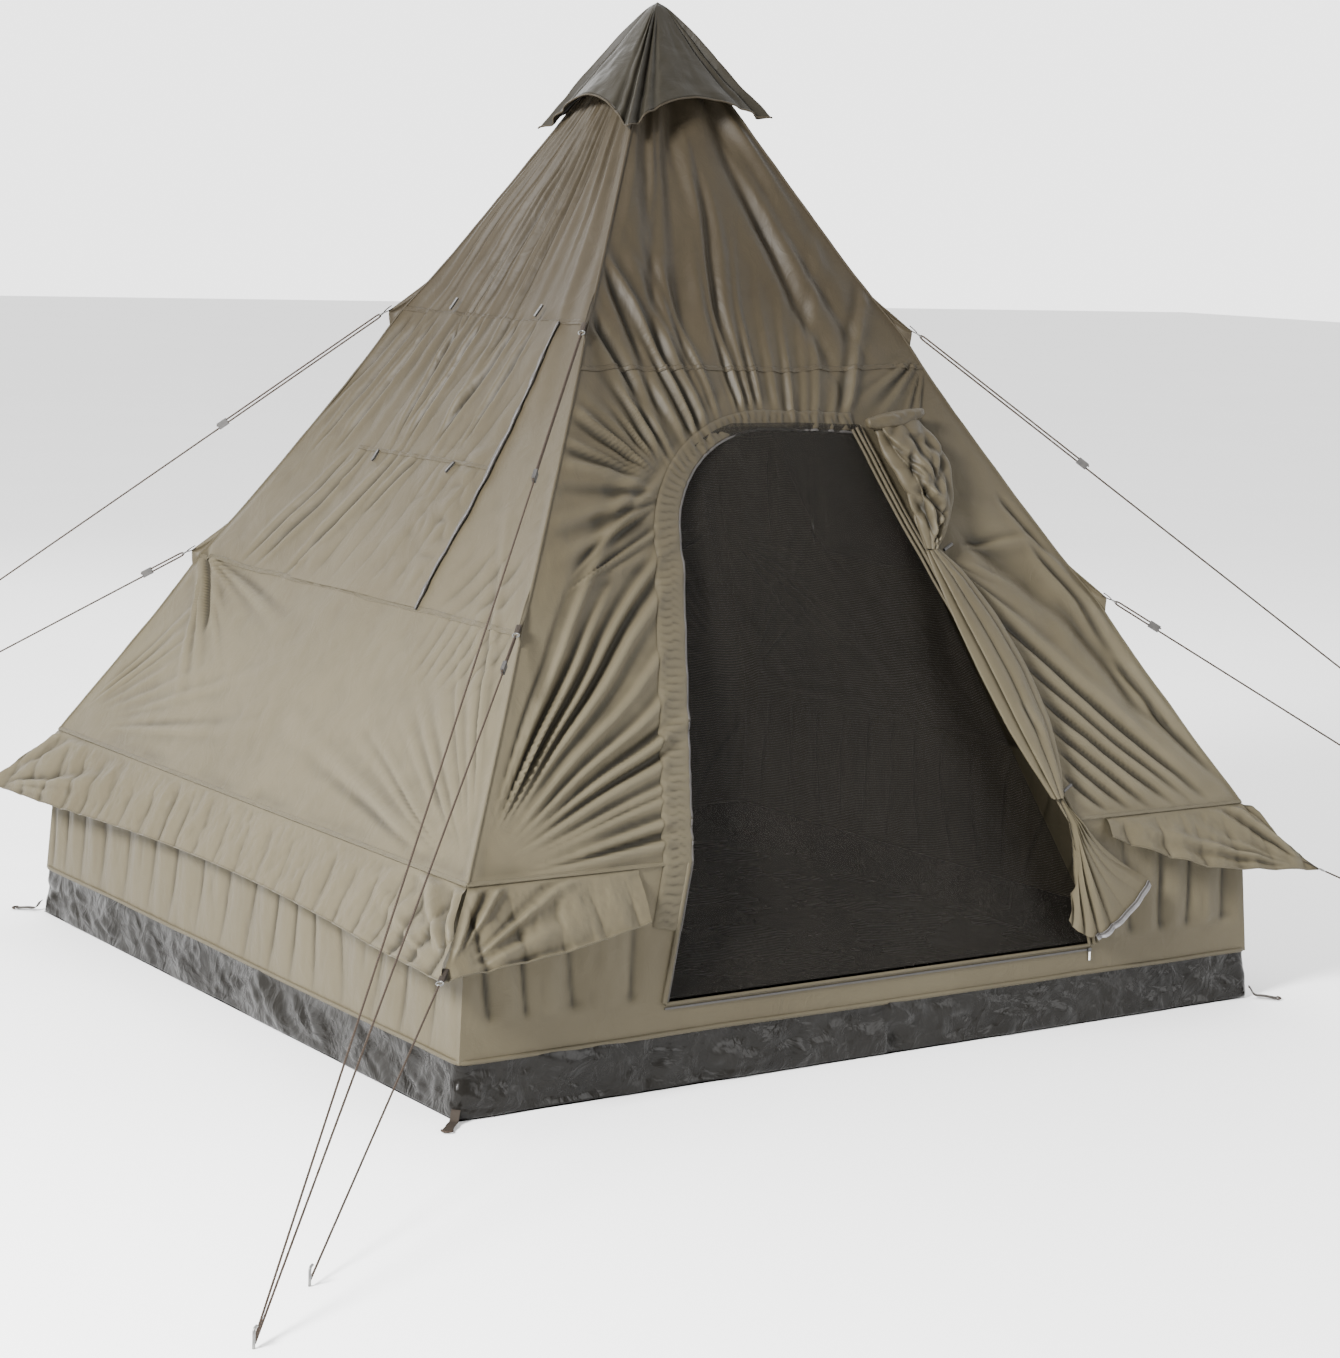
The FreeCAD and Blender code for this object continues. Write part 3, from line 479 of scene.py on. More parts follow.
def mixColour(tree, factor, first, second):
    node = tree.nodes.new("ShaderNodeMix")
    node.data_type = "RGBA"
    feed(tree, factor, node.inputs["Factor"])
    for key, value in (("A", first), ("B", second)):
        feed(tree, value, [s for s in node.inputs if s.name == key and s.type == "RGBA"][0])
    return [s for s in node.outputs if s.type == "RGBA"][0]


def bumpChain(tree, shader, heights):
    # each height adds its own bump on top of the last
    last = None
    for height, strength, distance in heights:
        bump = tree.nodes.new("ShaderNodeBump")
        bump.inputs["Strength"].default_value = strength
        bump.inputs["Distance"].default_value = distance
        tree.links.new(height, bump.inputs["Height"])
        if last is not None:
            tree.links.new(last, bump.inputs["Normal"])
        last = bump.outputs[0]
    tree.links.new(last, shader.inputs["Normal"])


def clothMaterial(name, look):
    material, tree, shader, place = newMaterial(name)
    where = place.outputs["Object"]
    patina = placeGroup(tree, patinaGroup, where, "Scale", look["patch"])
    crumple = placeGroup(tree, crumpleGroup, where, "Size", look["crease"])
    weave = placeGroup(tree, weaveGroup, where, "Threads", look["threads"])
    tone = mixColour(tree, patina, look["dark"], look["light"])
    # painted shade: higher up the cloth the colour is mixed towards a darker brown, so the lower
    # cloth looks lit by light bounced off the floor
    split = tree.nodes.new("ShaderNodeSeparateXYZ")
    tree.links.new(where, split.inputs[0])
    rising = mapRange(tree, split.outputs["Z"], look["topShadeFrom"], look["topShadeTo"])
    topShadeAmount = mathNode(tree, "MULTIPLY", rising, look["topShadeAmount"])
    topShaded = mixColour(tree, topShadeAmount, tone, look["topShadeColour"])
    # painted shade and highlight: the base colour is mixed towards a near black in the hollows of
    # the folds and towards a pale tone on their crests, by the mask stored on each piece
    paintedShading = tree.nodes.new("ShaderNodeAttribute")
    paintedShading.attribute_name = "paintedShading"
    paintedShadeAmount, raised = (mathNode(tree, "MULTIPLY", mathNode(tree, "MAXIMUM", mathNode(
        tree, "MULTIPLY", paintedShading.outputs["Fac"], sign), 0.0), strength)
        for sign, strength in ((1.0, look["paintedShadeStrength"]), (-1.0, look["paintedHighlightStrength"])))
    # the painted highlight on the crests is let down where the painted shade higher up is strong
    raised = mathNode(tree, "MULTIPLY", raised, mathNode(tree, "SUBTRACT", 1.0, topShadeAmount))
    shaded = mixColour(tree, paintedShadeAmount, topShaded, look["deep"])
    tree.links.new(mixColour(tree, raised, shaded, look["paintedHighlightColour"]), shader.inputs["Base Color"])
    gloss = mapRange(tree, patina, 0.0, 1.0, look["rough"] - 0.06, look["rough"] + 0.07)
    tree.links.new(gloss, shader.inputs["Roughness"])
    shader.inputs["Sheen Weight"].default_value = look["sheen"]
    shader.inputs["Sheen Roughness"].default_value = 0.4
    shader.inputs["Specular IOR Level"].default_value = look["specular"]
    bumpChain(tree, shader, [(crumple, look["creaseStrength"], look["creaseDepth"]),
                             (weave, 0.15, 0.0002)])
    return material


# the cloth's own olive tones, plus three painted colours: a darker brown for painted shade higher
# up, a near black for painted shade in fold hollows and a pale tone for painted highlight on fold
# crests
taffeta = {
    "dark": (0.060, 0.0500, 0.0300),
    "light": (0.077, 0.0655, 0.0410),
    "topShadeColour": (0.018, 0.0132, 0.0074),
    "deep": (0.007, 0.006, 0.0035),
    "paintedHighlightColour": (0.098, 0.086, 0.058),
    "paintedShadeStrength": 0.8,
    "paintedHighlightStrength": 0.4,
    "topShadeFrom": 0.9,
    "topShadeTo": 2.15,
    "topShadeAmount": 0.88,
    "patch": 1.4,
    "crease": 9.0,
    "creaseStrength": 0.35,
    "creaseDepth": 0.006,
    "threads": 2600.0,
    "rough": 0.52,
    "sheen": 0.01,
    "specular": 0.15,
}
canopyCloth = clothMaterial("canopyTaffeta", taffeta)
# the trim's own darker tones; it keeps the canopy's painted shade and painted highlight
trimCloth = clothMaterial("trimTaffeta", {**taffeta, "dark": (0.052, 0.044, 0.027),
                                         "light": (0.068, 0.058, 0.037), "crease": 26.0,
                                         "creaseDepth": 0.003})
# the cap's own dark tones, with no painted shade higher up and a dimmer painted highlight on its
# fold crests
capCloth = clothMaterial("capTaffeta", {**taffeta, "dark": (0.0095, 0.0080, 0.0051),
                                       "light": (0.0140, 0.0119, 0.0076), "topShadeAmount": 0.0,
                                       "paintedHighlightColour": (0.022, 0.019, 0.013), "specular": 0.16})


def plasticMaterial(name, look):
    material, tree, shader, place = newMaterial(name)
    where = place.outputs["Object"]
    patina = placeGroup(tree, patinaGroup, where, "Scale", look["patch"])
    tone = mixColour(tree, patina, look["dark"], look["light"])
    tree.links.new(tone, shader.inputs["Base Color"])
    gloss = mapRange(tree, patina, 0.0, 1.0, look["rough"] * 0.8, min(1.0, look["rough"] * 1.25))
    tree.links.new(gloss, shader.inputs["Roughness"])
    shader.inputs["Metallic"].default_value = look["metal"]
    shader.inputs["Specular IOR Level"].default_value = look["specular"]
    crumple = placeGroup(tree, crumpleGroup, where, "Size", look["crease"])
    bumpChain(tree, shader, [(crumple, look["bump"], look["depth"])])
    return material


plasticKeys = ("dark", "light", "patch", "rough", "metal", "crease", "bump", "depth", "specular")
plastics = {name: plasticMaterial(name, dict(zip(plasticKeys, values))) for name, values in {
    "tubSheeting": ((0.0050, 0.0044, 0.0036), (0.0095, 0.0086, 0.0072), 3.0, 0.26, 0.0, 9.0, 0.7,
                    0.010, 0.15),
    "polePowderCoat": ((0.03, 0.03, 0.03), (0.05, 0.05, 0.05), 40.0, 0.4, 0.3, 400.0, 0.2,
                       0.0005, 0.5),
    "poleRubber": ((0.015, 0.015, 0.015), (0.03, 0.03, 0.03), 60.0, 0.75, 0.0, 300.0, 0.3,
                   0.0005, 0.5),
    "runnerPlastic": ((0.012, 0.011, 0.010), (0.03, 0.027, 0.024), 80.0, 0.5, 0.0, 500.0, 0.2,
                      0.0003, 0.5),
    "platedWire": ((0.10, 0.10, 0.10), (0.22, 0.22, 0.21), 90.0, 0.35, 0.9, 500.0, 0.15,
                   0.0003, 0.5),
    "zipCoil": ((0.015, 0.013, 0.012), (0.03, 0.026, 0.022), 120.0, 0.45, 0.0, 900.0, 0.5,
                0.0006, 0.5),
    "zipTapePale": ((0.10, 0.096, 0.096), (0.17, 0.165, 0.17), 60.0, 0.5, 0.0, 600.0, 0.4,
                    0.0006, 0.5),
    "sliderEnamel": ((0.03, 0.03, 0.03), (0.06, 0.06, 0.06), 150.0, 0.3, 0.6, 700.0, 0.15,
                     0.0002, 0.5),
    "pullMoulded": ((0.62, 0.62, 0.60), (0.76, 0.76, 0.74), 120.0, 0.35, 0.0, 700.0, 0.15,
                    0.0002, 0.5),
}.items()}
sheetingMaterial, runnerMaterial = plastics["tubSheeting"], plastics["runnerPlastic"]
zipMaterial = plastics["zipCoil"]


def threadMaterial(name, dark, light, gap, along):
    # braid or woven tape: slanted bands along the piece's own uv map, in metres
    material, tree, shader, place = newMaterial(name)
    split = tree.nodes.new("ShaderNodeSeparateXYZ")
    tree.links.new(place.outputs["UV"], split.inputs[0])
    lengthwise = mathNode(tree, "MULTIPLY", split.outputs["X"], 2 * math.pi / gap)
    around = mathNode(tree, "MULTIPLY", split.outputs["Y"], along)
    left = mathNode(tree, "SINE", mathNode(tree, "ADD", lengthwise, around))
    right = mathNode(tree, "SINE", mathNode(tree, "SUBTRACT", lengthwise, around))
    braid = mathNode(tree, "MAXIMUM", left, right)
    speckle = noiseNode(tree, place.outputs["Object"], 60.0, 3.0, 0.6)
    share = mathNode(tree, "MULTIPLY", mathNode(tree, "ADD", braid, speckle), 0.5)
    tree.links.new(mixColour(tree, share, dark, light), shader.inputs["Base Color"])
    shader.inputs["Roughness"].default_value = 0.7
    shader.inputs["Specular IOR Level"].default_value = 0.15
    bumpChain(tree, shader, [(braid, 0.6, 0.0006)])
    return material


cordMaterial = threadMaterial("braidedCord", (0.012, 0.009, 0.007), (0.045, 0.030, 0.020),
                              0.009, 12.566)
webbingMaterial = threadMaterial("wovenTape", (0.012, 0.009, 0.007), (0.034, 0.026, 0.019),
                                 0.003, 900.0)


def netMesh():
    # fine holes in a dark cloth, so it lets part of the light through
    material, tree, shader, place = newMaterial("insectMesh")
    where = place.outputs["Object"]
    weave = placeGroup(tree, weaveGroup, where, "Threads", 2200.0)
    patina = placeGroup(tree, patinaGroup, where, "Scale", 2.2)
    tone = mixColour(tree, patina, (0.0080, 0.0070, 0.0056), (0.0120, 0.0106, 0.0086))
    tree.links.new(tone, shader.inputs["Base Color"])
    shader.inputs["Roughness"].default_value = 0.6
    shader.inputs["Specular IOR Level"].default_value = 0.08
    tree.links.new(mapRange(tree, weave, -1.0, 1.0, 0.60, 0.82), shader.inputs["Alpha"])
    return material


netMaterial = netMesh()
print("materials ready")


# camera first: it stands in front of the near corner
camera = {
    "place": (-5.495, -8.133, 2.391),
    "yaw": 0.601,
    "pitch": -0.149,
    "roll": 0.034,
    "lens": 81.6,
    "shift": (0.0103, -0.0021),
}


def makeCamera(look):
    data = bpy.data.cameras.new("camera")
    data.lens = look["lens"]
    data.sensor_width = 36.0
    data.shift_x, data.shift_y = look["shift"]
    piece = bpy.data.objects.new("camera", data)
    bpy.context.scene.collection.objects.link(piece)
    cp, sp = math.cos(look["pitch"]), math.sin(look["pitch"])
    cy, sy = math.cos(look["yaw"]), math.sin(look["yaw"])
    ahead = np.array([sy * cp, cy * cp, sp])
    right = np.array([cy, -sy, 0.0])
    above = np.cross(right, ahead)
    cr, sr = math.cos(look["roll"]), math.sin(look["roll"])
    right, above = right * cr + above * sr, above * cr - right * sr
    matrix = np.eye(4)
    matrix[:3, 0], matrix[:3, 1], matrix[:3, 2] = right, above, -ahead
    matrix[:3, 3] = look["place"]
    piece.matrix_world = Matrix(matrix.tolist())
    bpy.context.scene.camera = piece
    return piece


makeCamera(camera)

# guy ropes: every corner has one to the upper tab, one to the middle tab, one to the skirt
guys = {
    "corners": {"front_left": (-1, -1), "front_right": (1, -1),
                "back_right": (1, 1), "back_left": (-1, 1)},
    "tabHeight": {"upper": 2.050, "middle": 1.245},
    "tabReach": 0.060,
    "ringReach": 0.021,
    "strand": 0.005,
    "pegFar": 1.2,
    "pegNear": 0.92,
    "ropeEnd": 0.014,
    "diameter": 0.0055,
    "upperLoop": 0.012,
    "pegSide": 0.0045,
    "doubled": {"upper": 0.660, "middle": 0.160},
}


def cornerOut(corner):
    sx, sy = guys["corners"][corner]
    return unit(np.array([sx * eaveX, sy * eaveY, 0.0]))


def ridgePoint(corner, height):
    sx, sy = guys["corners"][corner]
    share = (tent["peak"] - height) / rise
    return np.array([sx * eaveX * share, sy * eaveY * share, height])


def skirtTip(corner):
    sx, sy = guys["corners"][corner]
    return np.array([sx * (eaveX + tent["skirtReach"]), sy * (eaveY + tent["skirtReach"]),
                     tent["eave"] - tent["skirtDrop"]])


def guyStart(corner, level):
    if level == "eave":
        return skirtTip(corner) + cornerOut(corner) * 0.006
    return ridgePoint(corner, guys["tabHeight"][level]) + cornerOut(corner) * guys["tabReach"]


def guyLine(corner, level):
    sx, sy = guys["corners"][corner]
    reach = guys["pegNear"] if level == "eave" else guys["pegFar"]
    end = np.array([sx * (tent["halfX"] + reach), sy * (tent["halfY"] + reach), guys["ropeEnd"]])
    end[2] += guys["upperLoop"] if level == "upper" else 0.0
    end = end - cornerOut(corner) * guys["pegSide"]
    start = guyStart(corner, level)
    along = unit(end - start)
    wire = start + along * guys["ringReach"]
    return wire, end, along, np.cross(unit(np.cross(along, up3)), along)


def splinePoints(name, route, turns):
    # a NURBS of order 3 with the route as its control points, read back as points
    curve = bpy.data.curves.new(name, "CURVE")
    curve.dimensions = "3D"
    spline = curve.splines.new("NURBS")
    spline.points.add(len(route) - 1)
    spline.points.foreach_set("co", np.column_stack([route, np.ones(len(route))]).ravel())
    spline.order_u = 3
    spline.use_endpoint_u = True
    spline.resolution_u = turns
    holder = bpy.data.objects.new(name, curve)
    mesh = bpy.data.meshes.new_from_object(holder)
    points = np.zeros(len(mesh.vertices) * 3)
    mesh.vertices.foreach_get("co", points)
    bpy.data.objects.remove(holder)
    bpy.data.curves.remove(curve)
    bpy.data.meshes.remove(mesh)
    return points.reshape(-1, 3)


def makeRope(corner, level):
    wire, end, along, above = guyLine(corner, level)
    lift = above * guys["strand"]
    if level == "eave":
        start = wire + along * 0.0025
        route = np.array([start, start + along * 0.035, end - along * 0.04, end])
    else:
        back = wire - along * guys["strand"]
        bend = wire + along * 0.034
        route = np.array([wire + along * guys["doubled"][level] + lift, bend + lift, back + lift,
                          back - lift, bend - lift, end - along * 0.04 - lift, end - lift])
    tail = "_%s_%s" % (corner, level)
    path = splinePoints("guyRope" + tail, route, 24)
    rope = sweep("guyRope" + tail, path, guys["diameter"] / 2, 10, (0.13, 0.21, 0.97), cordMaterial)
    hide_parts("guy_rope" + tail)
    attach(rope, "tent")


for corner in guys["corners"]:
    for level in ("upper", "middle", "eave"):
        makeRope(corner, level)
print("camera and ropes ready")


# the curve of the doorway
def arcPoints(first, middle, last, count):
    # the circle through three points, from the first to the last
    (ax, ay), (bx, by), (cx, cy) = first, middle, last
    d = 2 * (ax * (by - cy) + bx * (cy - ay) + cx * (ay - by))
    a2, b2, c2 = ax * ax + ay * ay, bx * bx + by * by, cx * cx + cy * cy
    ox = (a2 * (by - cy) + b2 * (cy - ay) + c2 * (ay - by)) / d
    oy = (a2 * (cx - bx) + b2 * (ax - cx) + c2 * (bx - ax)) / d
    start, bend, stop = (math.atan2(y - oy, x - ox) for x, y in (first, middle, last))
    turn = (stop - start) % (2 * math.pi)
    if (bend - start) % (2 * math.pi) > turn:
        turn -= 2 * math.pi
    angle = start + turn * np.linspace(0, 1, count)
    radius = math.hypot(ax - ox, ay - oy)
    return np.stack([ox + radius * np.cos(angle), oy + radius * np.sin(angle)], -1)


def frontUp(height):
    return upAt("front", height)


archStart = (-doorway["shoulderX"], frontUp(doorway["shoulder"]))
archBend = (-doorway["shoulderX"] * 0.66, frontUp(doorway["top"] - 0.092))
archEnd = (0.020, frontUp(doorway["top"]))
arch = arcPoints(archStart, archBend, archEnd, 60)
doorTopRight = (doorway["cornerX"], frontUp(doorway["corner"]))


# how far the cloth stands off the flat plane of each roof face
reliefs = {
    "front": {
        "hollow": 0.022,
        "seed": 3,
        "fans": [
            (-1.41, 0.625, 3, 58, 16, 0.40, 2.10, 0.026),
            (0.0, 3.02, -118, -62, 11, 0.60, 1.35, 0.012),
            (-0.40, 1.60, 98, 208, 12, 0.16, 0.62, 0.022),
            (-0.96, 1.30, 16, 38, 3, 0.20, 1.20, 0.020),
            (0.46, 1.42, -62, 4, 6, 0.14, 0.60, 0.016),
            (0.68, 2.01, -160, -108, 6, 0.12, 0.60, 0.012),
            (-0.10, 1.20, 60, 122, 18, 0.55, 1.75, 0.019),
        ],
        "pleats": [],
        "creases": [
            (-0.10, 2.92, -0.36, 1.90, 0.034, 0.022), (-0.01, 2.92, -0.28, 1.86, 0.040, 0.027),
            (0.05, 2.92, 0.24, 2.10, 0.034, 0.021), (0.14, 2.50, 0.32, 1.86, 0.030, 0.015),
            (-0.02, 2.60, -0.10, 1.90, 0.026, 0.016), (0.12, 2.70, 0.44, 1.94, 0.026, 0.011),
            (-0.56, 2.14, -0.42, 1.74, 0.020, 0.016), (-0.46, 2.24, -0.37, 1.76, 0.020, 0.015),
            (0.62, 1.24, 1.28, 0.64, 0.017, 0.022), (0.66, 1.11, 1.21, 0.64, 0.014, 0.014),
            (0.71, 0.99, 1.14, 0.64, 0.016, 0.020), (0.73, 0.90, 1.04, 0.64, 0.014, 0.016),
            (0.74, 0.83, 0.95, 0.64, 0.013, 0.015), (0.73, 0.76, 0.86, 0.64, 0.012, 0.013),
            (0.60, 1.48, 0.96, 1.20, 0.050, 0.030), (0.90, 1.25, 1.20, 0.87, 0.050, 0.034),
            (1.15, 0.93, 1.37, 0.69, 0.034, 0.024), (0.86, 1.42, 1.10, 1.08, 0.014, 0.014),
            (1.09, 1.07, 1.24, 0.83, 0.013, 0.014), (0.80, 1.56, 0.94, 1.36, 0.016, 0.012),
        ],
    },
    "left": {
        "hollow": 0.020,
        "seed": 31,
        "fans": [
            (1.33, 0.625, 124, 172, 9, 0.35, 1.35, 0.012),
            (-1.33, 0.625, 8, 50, 8, 0.40, 1.25, 0.009),
            (0.0, 3.02, -116, -64, 15, 0.45, 1.90, 0.015),
            (-0.98, 1.25, -62, -10, 6, 0.12, 0.80, 0.013),
            (0.0, 3.02, -72, -60, 4, 1.70, 3.00, 0.012),
        ],
        "pleats": [
            (0.52, 0.95, 1.08, 1.23, 80, 0.060, 0.012, 0.6),
            (0.52, 0.84, 1.26, 1.42, 62, 0.080, 0.018, 0.6),
        ],
        "creases": [
            (-0.20, 2.08, -0.20, 1.67, 0.011, 0.013), (-0.07, 2.08, -0.13, 1.66, 0.012, 0.014),
            (0.13, 2.07, 0.04, 1.66, 0.012, 0.015), (0.24, 2.07, 0.19, 1.69, 0.011, 0.012),
            (-0.34, 2.06, -0.54, 1.62, 0.014, 0.016), (-0.42, 2.06, -0.68, 1.60, 0.012, 0.011),
            (-0.49, 2.05, -0.80, 1.64, 0.018, 0.018), (-0.35, 1.64, -0.64, 1.25, 0.014, 0.016),
            (-0.14, 1.65, -0.45, 1.24, 0.015, 0.018), (-0.45, 1.62, -0.72, 1.25, 0.013, 0.014),
            (-0.02, 1.64, -0.18, 1.46, 0.012, 0.012), (-0.98, 1.26, -0.72, 1.02, 0.018, 0.016),
        ],
    },
    "right": {
        "hollow": 0.020,
        "seed": 57,
        "fans": [
            (1.33, 0.625, 124, 172, 8, 0.35, 1.35, 0.011),
            (-1.33, 0.625, 8, 56, 9, 0.40, 1.30, 0.012),
            (0.0, 3.02, -116, -64, 15, 0.45, 1.90, 0.015),
            (0.98, 1.25, -174, -118, 6, 0.12, 0.80, 0.013),
        ],
        "pleats": [
            (-0.95, -0.52, 1.08, 1.23, 100, 0.060, 0.012, 0.6),
        ],
        "creases": [
            (0.20, 2.08, 0.21, 1.67, 0.011, 0.013), (0.06, 2.08, 0.12, 1.66, 0.012, 0.014),
            (-0.13, 2.07, -0.05, 1.66, 0.012, 0.015), (0.35, 2.06, 0.55, 1.62, 0.014, 0.016),
            (0.50, 2.05, 0.80, 1.63, 0.018, 0.018), (0.15, 1.65, 0.44, 1.24, 0.015, 0.018),
            (0.43, 1.62, 0.70, 1.25, 0.013, 0.014),
        ],
    },
    "back": {
        "hollow": 0.022,
        "seed": 83,
        "fans": [
            (-1.41, 0.625, 6, 58, 13, 0.50, 1.70, 0.016),
            (1.41, 0.625, 122, 174, 13, 0.50, 1.70, 0.016),
            (0.0, 3.02, -118, -62, 13, 0.50, 2.20, 0.014),
        ],
        "pleats": [],
        "creases": [
            (-0.10, 2.66, -0.28, 2.00, 0.030, 0.022), (0.08, 2.66, 0.16, 1.98, 0.030, 0.022),
            (-0.97, 1.26, -0.60, 1.05, 0.020, 0.015), (0.97, 1.26, 0.62, 1.08, 0.020, 0.015),
        ],
    },
}


def doorDistance(x, up):
    # how far each point of the front lies from the edge of the doorway
    straight = np.linspace(0, 1, 24)[:, None]
    foot, shoulder = np.array([-doorway["halfEave"], -0.05]), arch[0]
    line = np.concatenate([foot * (1 - straight) + shoulder * straight, arch[1:], [doorTopRight]])
    nearest = np.full(x.shape, 9.0)
    for px, py in line:
        nearest = np.minimum(nearest, (x - px) ** 2 + (up - py) ** 2)
    return np.sqrt(nearest)


def relief(face, x, up):
    # a slack hollow, folds that fan from the corners and the peak, runs of parallel creases
    # and a broken swell, all let down at the ridges and the eave
    look = reliefs[face]
    x, up = arrays(x, up)
    length = slopeLength(face)
    half = np.maximum(roofHalf(face, up), 0.01)
    side = np.clip(np.abs(x) / half, 0, 1)
    hollow = look["hollow"] * (1 - side ** 2) * hump(up / length) ** 0.8
    seed = look["seed"]
    folds = 0.008 * roughNoise(x, up, 0.42, seed) + 0.0016 * roughNoise(x, up, 0.09, seed + 4)
    for number, (cx, cz, *shape) in enumerate(look["fans"]):
        folds = folds + fan(x, up, (cx, upAt(face, cz)), *shape, seed + 11 * number)
    for number, (left, right, low, high, turn, gap, height, sharp) in enumerate(look["pleats"]):
        share = within(x, up, left, right, upAt(face, low), upAt(face, high), 0.06)
        run = pleats(x, up, turn, gap, height, seed + 7 * number + 2, 0.3, sharp)
        folds = folds + share * (run - 0.7 * height)
    for sx, sz, ex, ez, width, depth in look["creases"]:
        folds = folds + crease(x, up, (sx, upAt(face, sz)), (ex, upAt(face, ez)), width, depth)
    hold = smooth(0.0, 0.05, half - np.abs(x)) * smooth(0.0, 0.03, up)
    if face == "front":
        hold = hold * (0.1 + 0.9 * smooth(0.045, 0.105, doorDistance(x, up)))
    return folds * (0.15 + 0.85 * hold) - hollow


ridges = {"drawn": 0.016, "spread": 0.11, "hollow": 0.008, "long": 2.3, "top": 2.985}


def skinPoint(face, x, up, lift=0.0):
    # the roof plane with its relief; near a ridge the cloth is drawn out at each guy tab
    x, up, lift = arrays(x, up, lift)
    point = roofPoint(face, x, up, relief(face, x, up) + lift)
    along, out, run, half = faceAxes(face)
    height = tent["eave"] + rise * up / slopeLength(face)
    pull = 0.0
    for tab in guys["tabHeight"].values():
        pull = pull + ridges["drawn"] * np.exp(-np.abs((height - tab) / ridges["spread"]) ** 1.5)
    pull = pull - ridges["hollow"] * hump((height - tent["eave"]) / ridges["long"])
    side = np.clip(np.abs(x) / np.maximum(roofHalf(face, up), 0.01), 0, 1)
    corner = unit(out * run + along * half * np.sign(x)[..., None])
    return point + corner * (pull * smooth(0.45, 1.0, side) ** 2)[..., None]


def finishPiece(piece, *nodes, body="tent", slotName=clothSlot):
    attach(piece, body)
    if nodes:
        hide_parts(*nodes)
    return piece


def tube(name, path, radius, sides, upright, material, flatten=1.0, **finish):
    return finishPiece(sweep(name, path, radius, sides, upright, material, flatten), **finish)


def evenly(points, count):
    # the same line with its points an equal distance apart
    points = np.asarray(points, float)
    far = distances(points)
    want = np.linspace(0, far[-1], count)
    return np.stack([np.interp(want, far, points[:, k]) for k in range(points.shape[1])], -1)


def insideOutline(x, y, outline):
    # even-odd test for every grid point at once
    inside = np.zeros(x.shape, bool)
    for (ax, ay), (bx, by) in zip(outline, np.roll(outline, -1, axis=0)):
        if ay != by:
            inside ^= ((ay > y) != (by > y)) & (x < (bx - ax) * (y - ay) / (by - ay) + ax)
    return inside


doorOutline = np.concatenate([
    [(-doorway["halfEave"], -0.1)], [(-doorway["halfEave"], 0.0)], arch, [doorTopRight],
    [(doorway["halfEave"], 0.0)], [(doorway["halfEave"], -0.1)]])
windowSize = {"half": 0.365, "netHalf": 0.377, "low": upAt("left", tent["sideSeamLow"]) + 0.030,
              "high": upAt("left", tent["sideSeamHigh"]) - 0.030}
windowOutline = np.array([
    (-windowSize["half"], windowSize["low"]), (windowSize["half"], windowSize["low"]),
    (windowSize["half"], windowSize["high"]), (-windowSize["half"], windowSize["high"])])


def centres(grid):
    # the middle of each quad, from two opposite corners
    return (grid[1:, 1:] + grid[:-1, :-1]) / 2


def makeCanopy(face, nodes, hole):
    rows, columns = 300, 318
    up = np.linspace(0.0, upAt(face, tent["canopyTop"]), rows)[:, None]
    x = np.linspace(-1, 1, columns)[None, :] * roofHalf(face, up)
    up = np.broadcast_to(up, x.shape)
    keepMask = None if hole is None else ~insideOutline(centres(x), centres(up), hole)
    # with a mask for painted shade in its fold hollows and painted highlight on its crests
    piece = gridPiece("canopy_cloth_" + face, skinPoint(face, x, up), np.stack([x, up], -1),
                      canopyCloth, keepMask=keepMask, paintedShading=paintedShadingMask(relief(face, x, up), 4, 0.008))
    finishPiece(piece, *nodes)


makeCanopy("front", ("canopy_front_lower", "canopy_front_upper"), doorOutline)
for face in ("left", "right"):
    makeCanopy(face, tuple("canopy_%s_%s" % (face, part) for part in ("lower", "middle", "upper")),
               windowOutline)
makeCanopy("back", ("canopy_back",), None)
print("canopy ready")


# seams: a felled strip over each join, and a bound edge up each ridge
seams = {
    "width": 0.016,
    "thick": 0.0016,
    "heights": {"front": [tent["frontSeam"]], "left": [tent["sideSeamHigh"], tent["sideSeamLow"]],
                "right": [tent["sideSeamHigh"], tent["sideSeamLow"]], "back": [1.945]},
    "ridge": 0.0042,
}


def makeSeam(face, height):
    up = upAt(face, height)
    half = roofHalf(face, up)
    x = np.linspace(-half, half, 260)
    normal, side = slopeAxes(face)
    centre = skinPoint(face, x, np.full_like(x, up) + 0.004 * noise(x, x * 0, 0.12, 8), 0.0006)
    finishPiece(tape("seam_%s_%d" % (face, round(height * 1000)), centre, side, seams["width"],
                     normal, seams["thick"], trimCloth, 0.0012, 5))


for face, heights in seams["heights"].items():
    for height in heights:
        makeSeam(face, height)

for corner, (sx, sy) in guys["corners"].items():
    face = "front" if sy < 0 else "back"
    up = np.linspace(0.0, upAt(face, ridges["top"]), 240)
    sign = sx if face == "front" else -sx
    path = skinPoint(face, sign * roofHalf(face, up), up)
    bind = 0.001 * noise(up, up * 0, 0.05, 12)
    tube("ridge_" + corner, path + cornerOut(corner) * bind[:, None], seams["ridge"], 8,
         (0.2, 0.3, 1), trimCloth)
print("seams ready")


# walls and the welded tub
walls = {"fold": 0.019, "depth": 0.475, "frontShare": 0.62}


def wallRelief(x, height, seed):
    # upright soft folds, strongest half way up, and slants towards the corners
    low, high = tent["tubTop"], tent["eave"]
    body = hump((height - low) / (high - low)) ** 0.7
    sway = x + 0.09 * noise(x, height * 0.5, 0.3, seed + 1) + 0.12 * height
    folds = np.abs(np.sin(np.pi * sway / 0.16 + 2 * noise(x, height, 0.5, seed))) ** 0.8
    fine = roughNoise(x * 2.2, height * 0.6, 0.10, seed + 2)
    return walls["fold"] * body * (folds - 0.5) + 0.003 * fine * (0.3 + 0.7 * body) - 0.006 * body


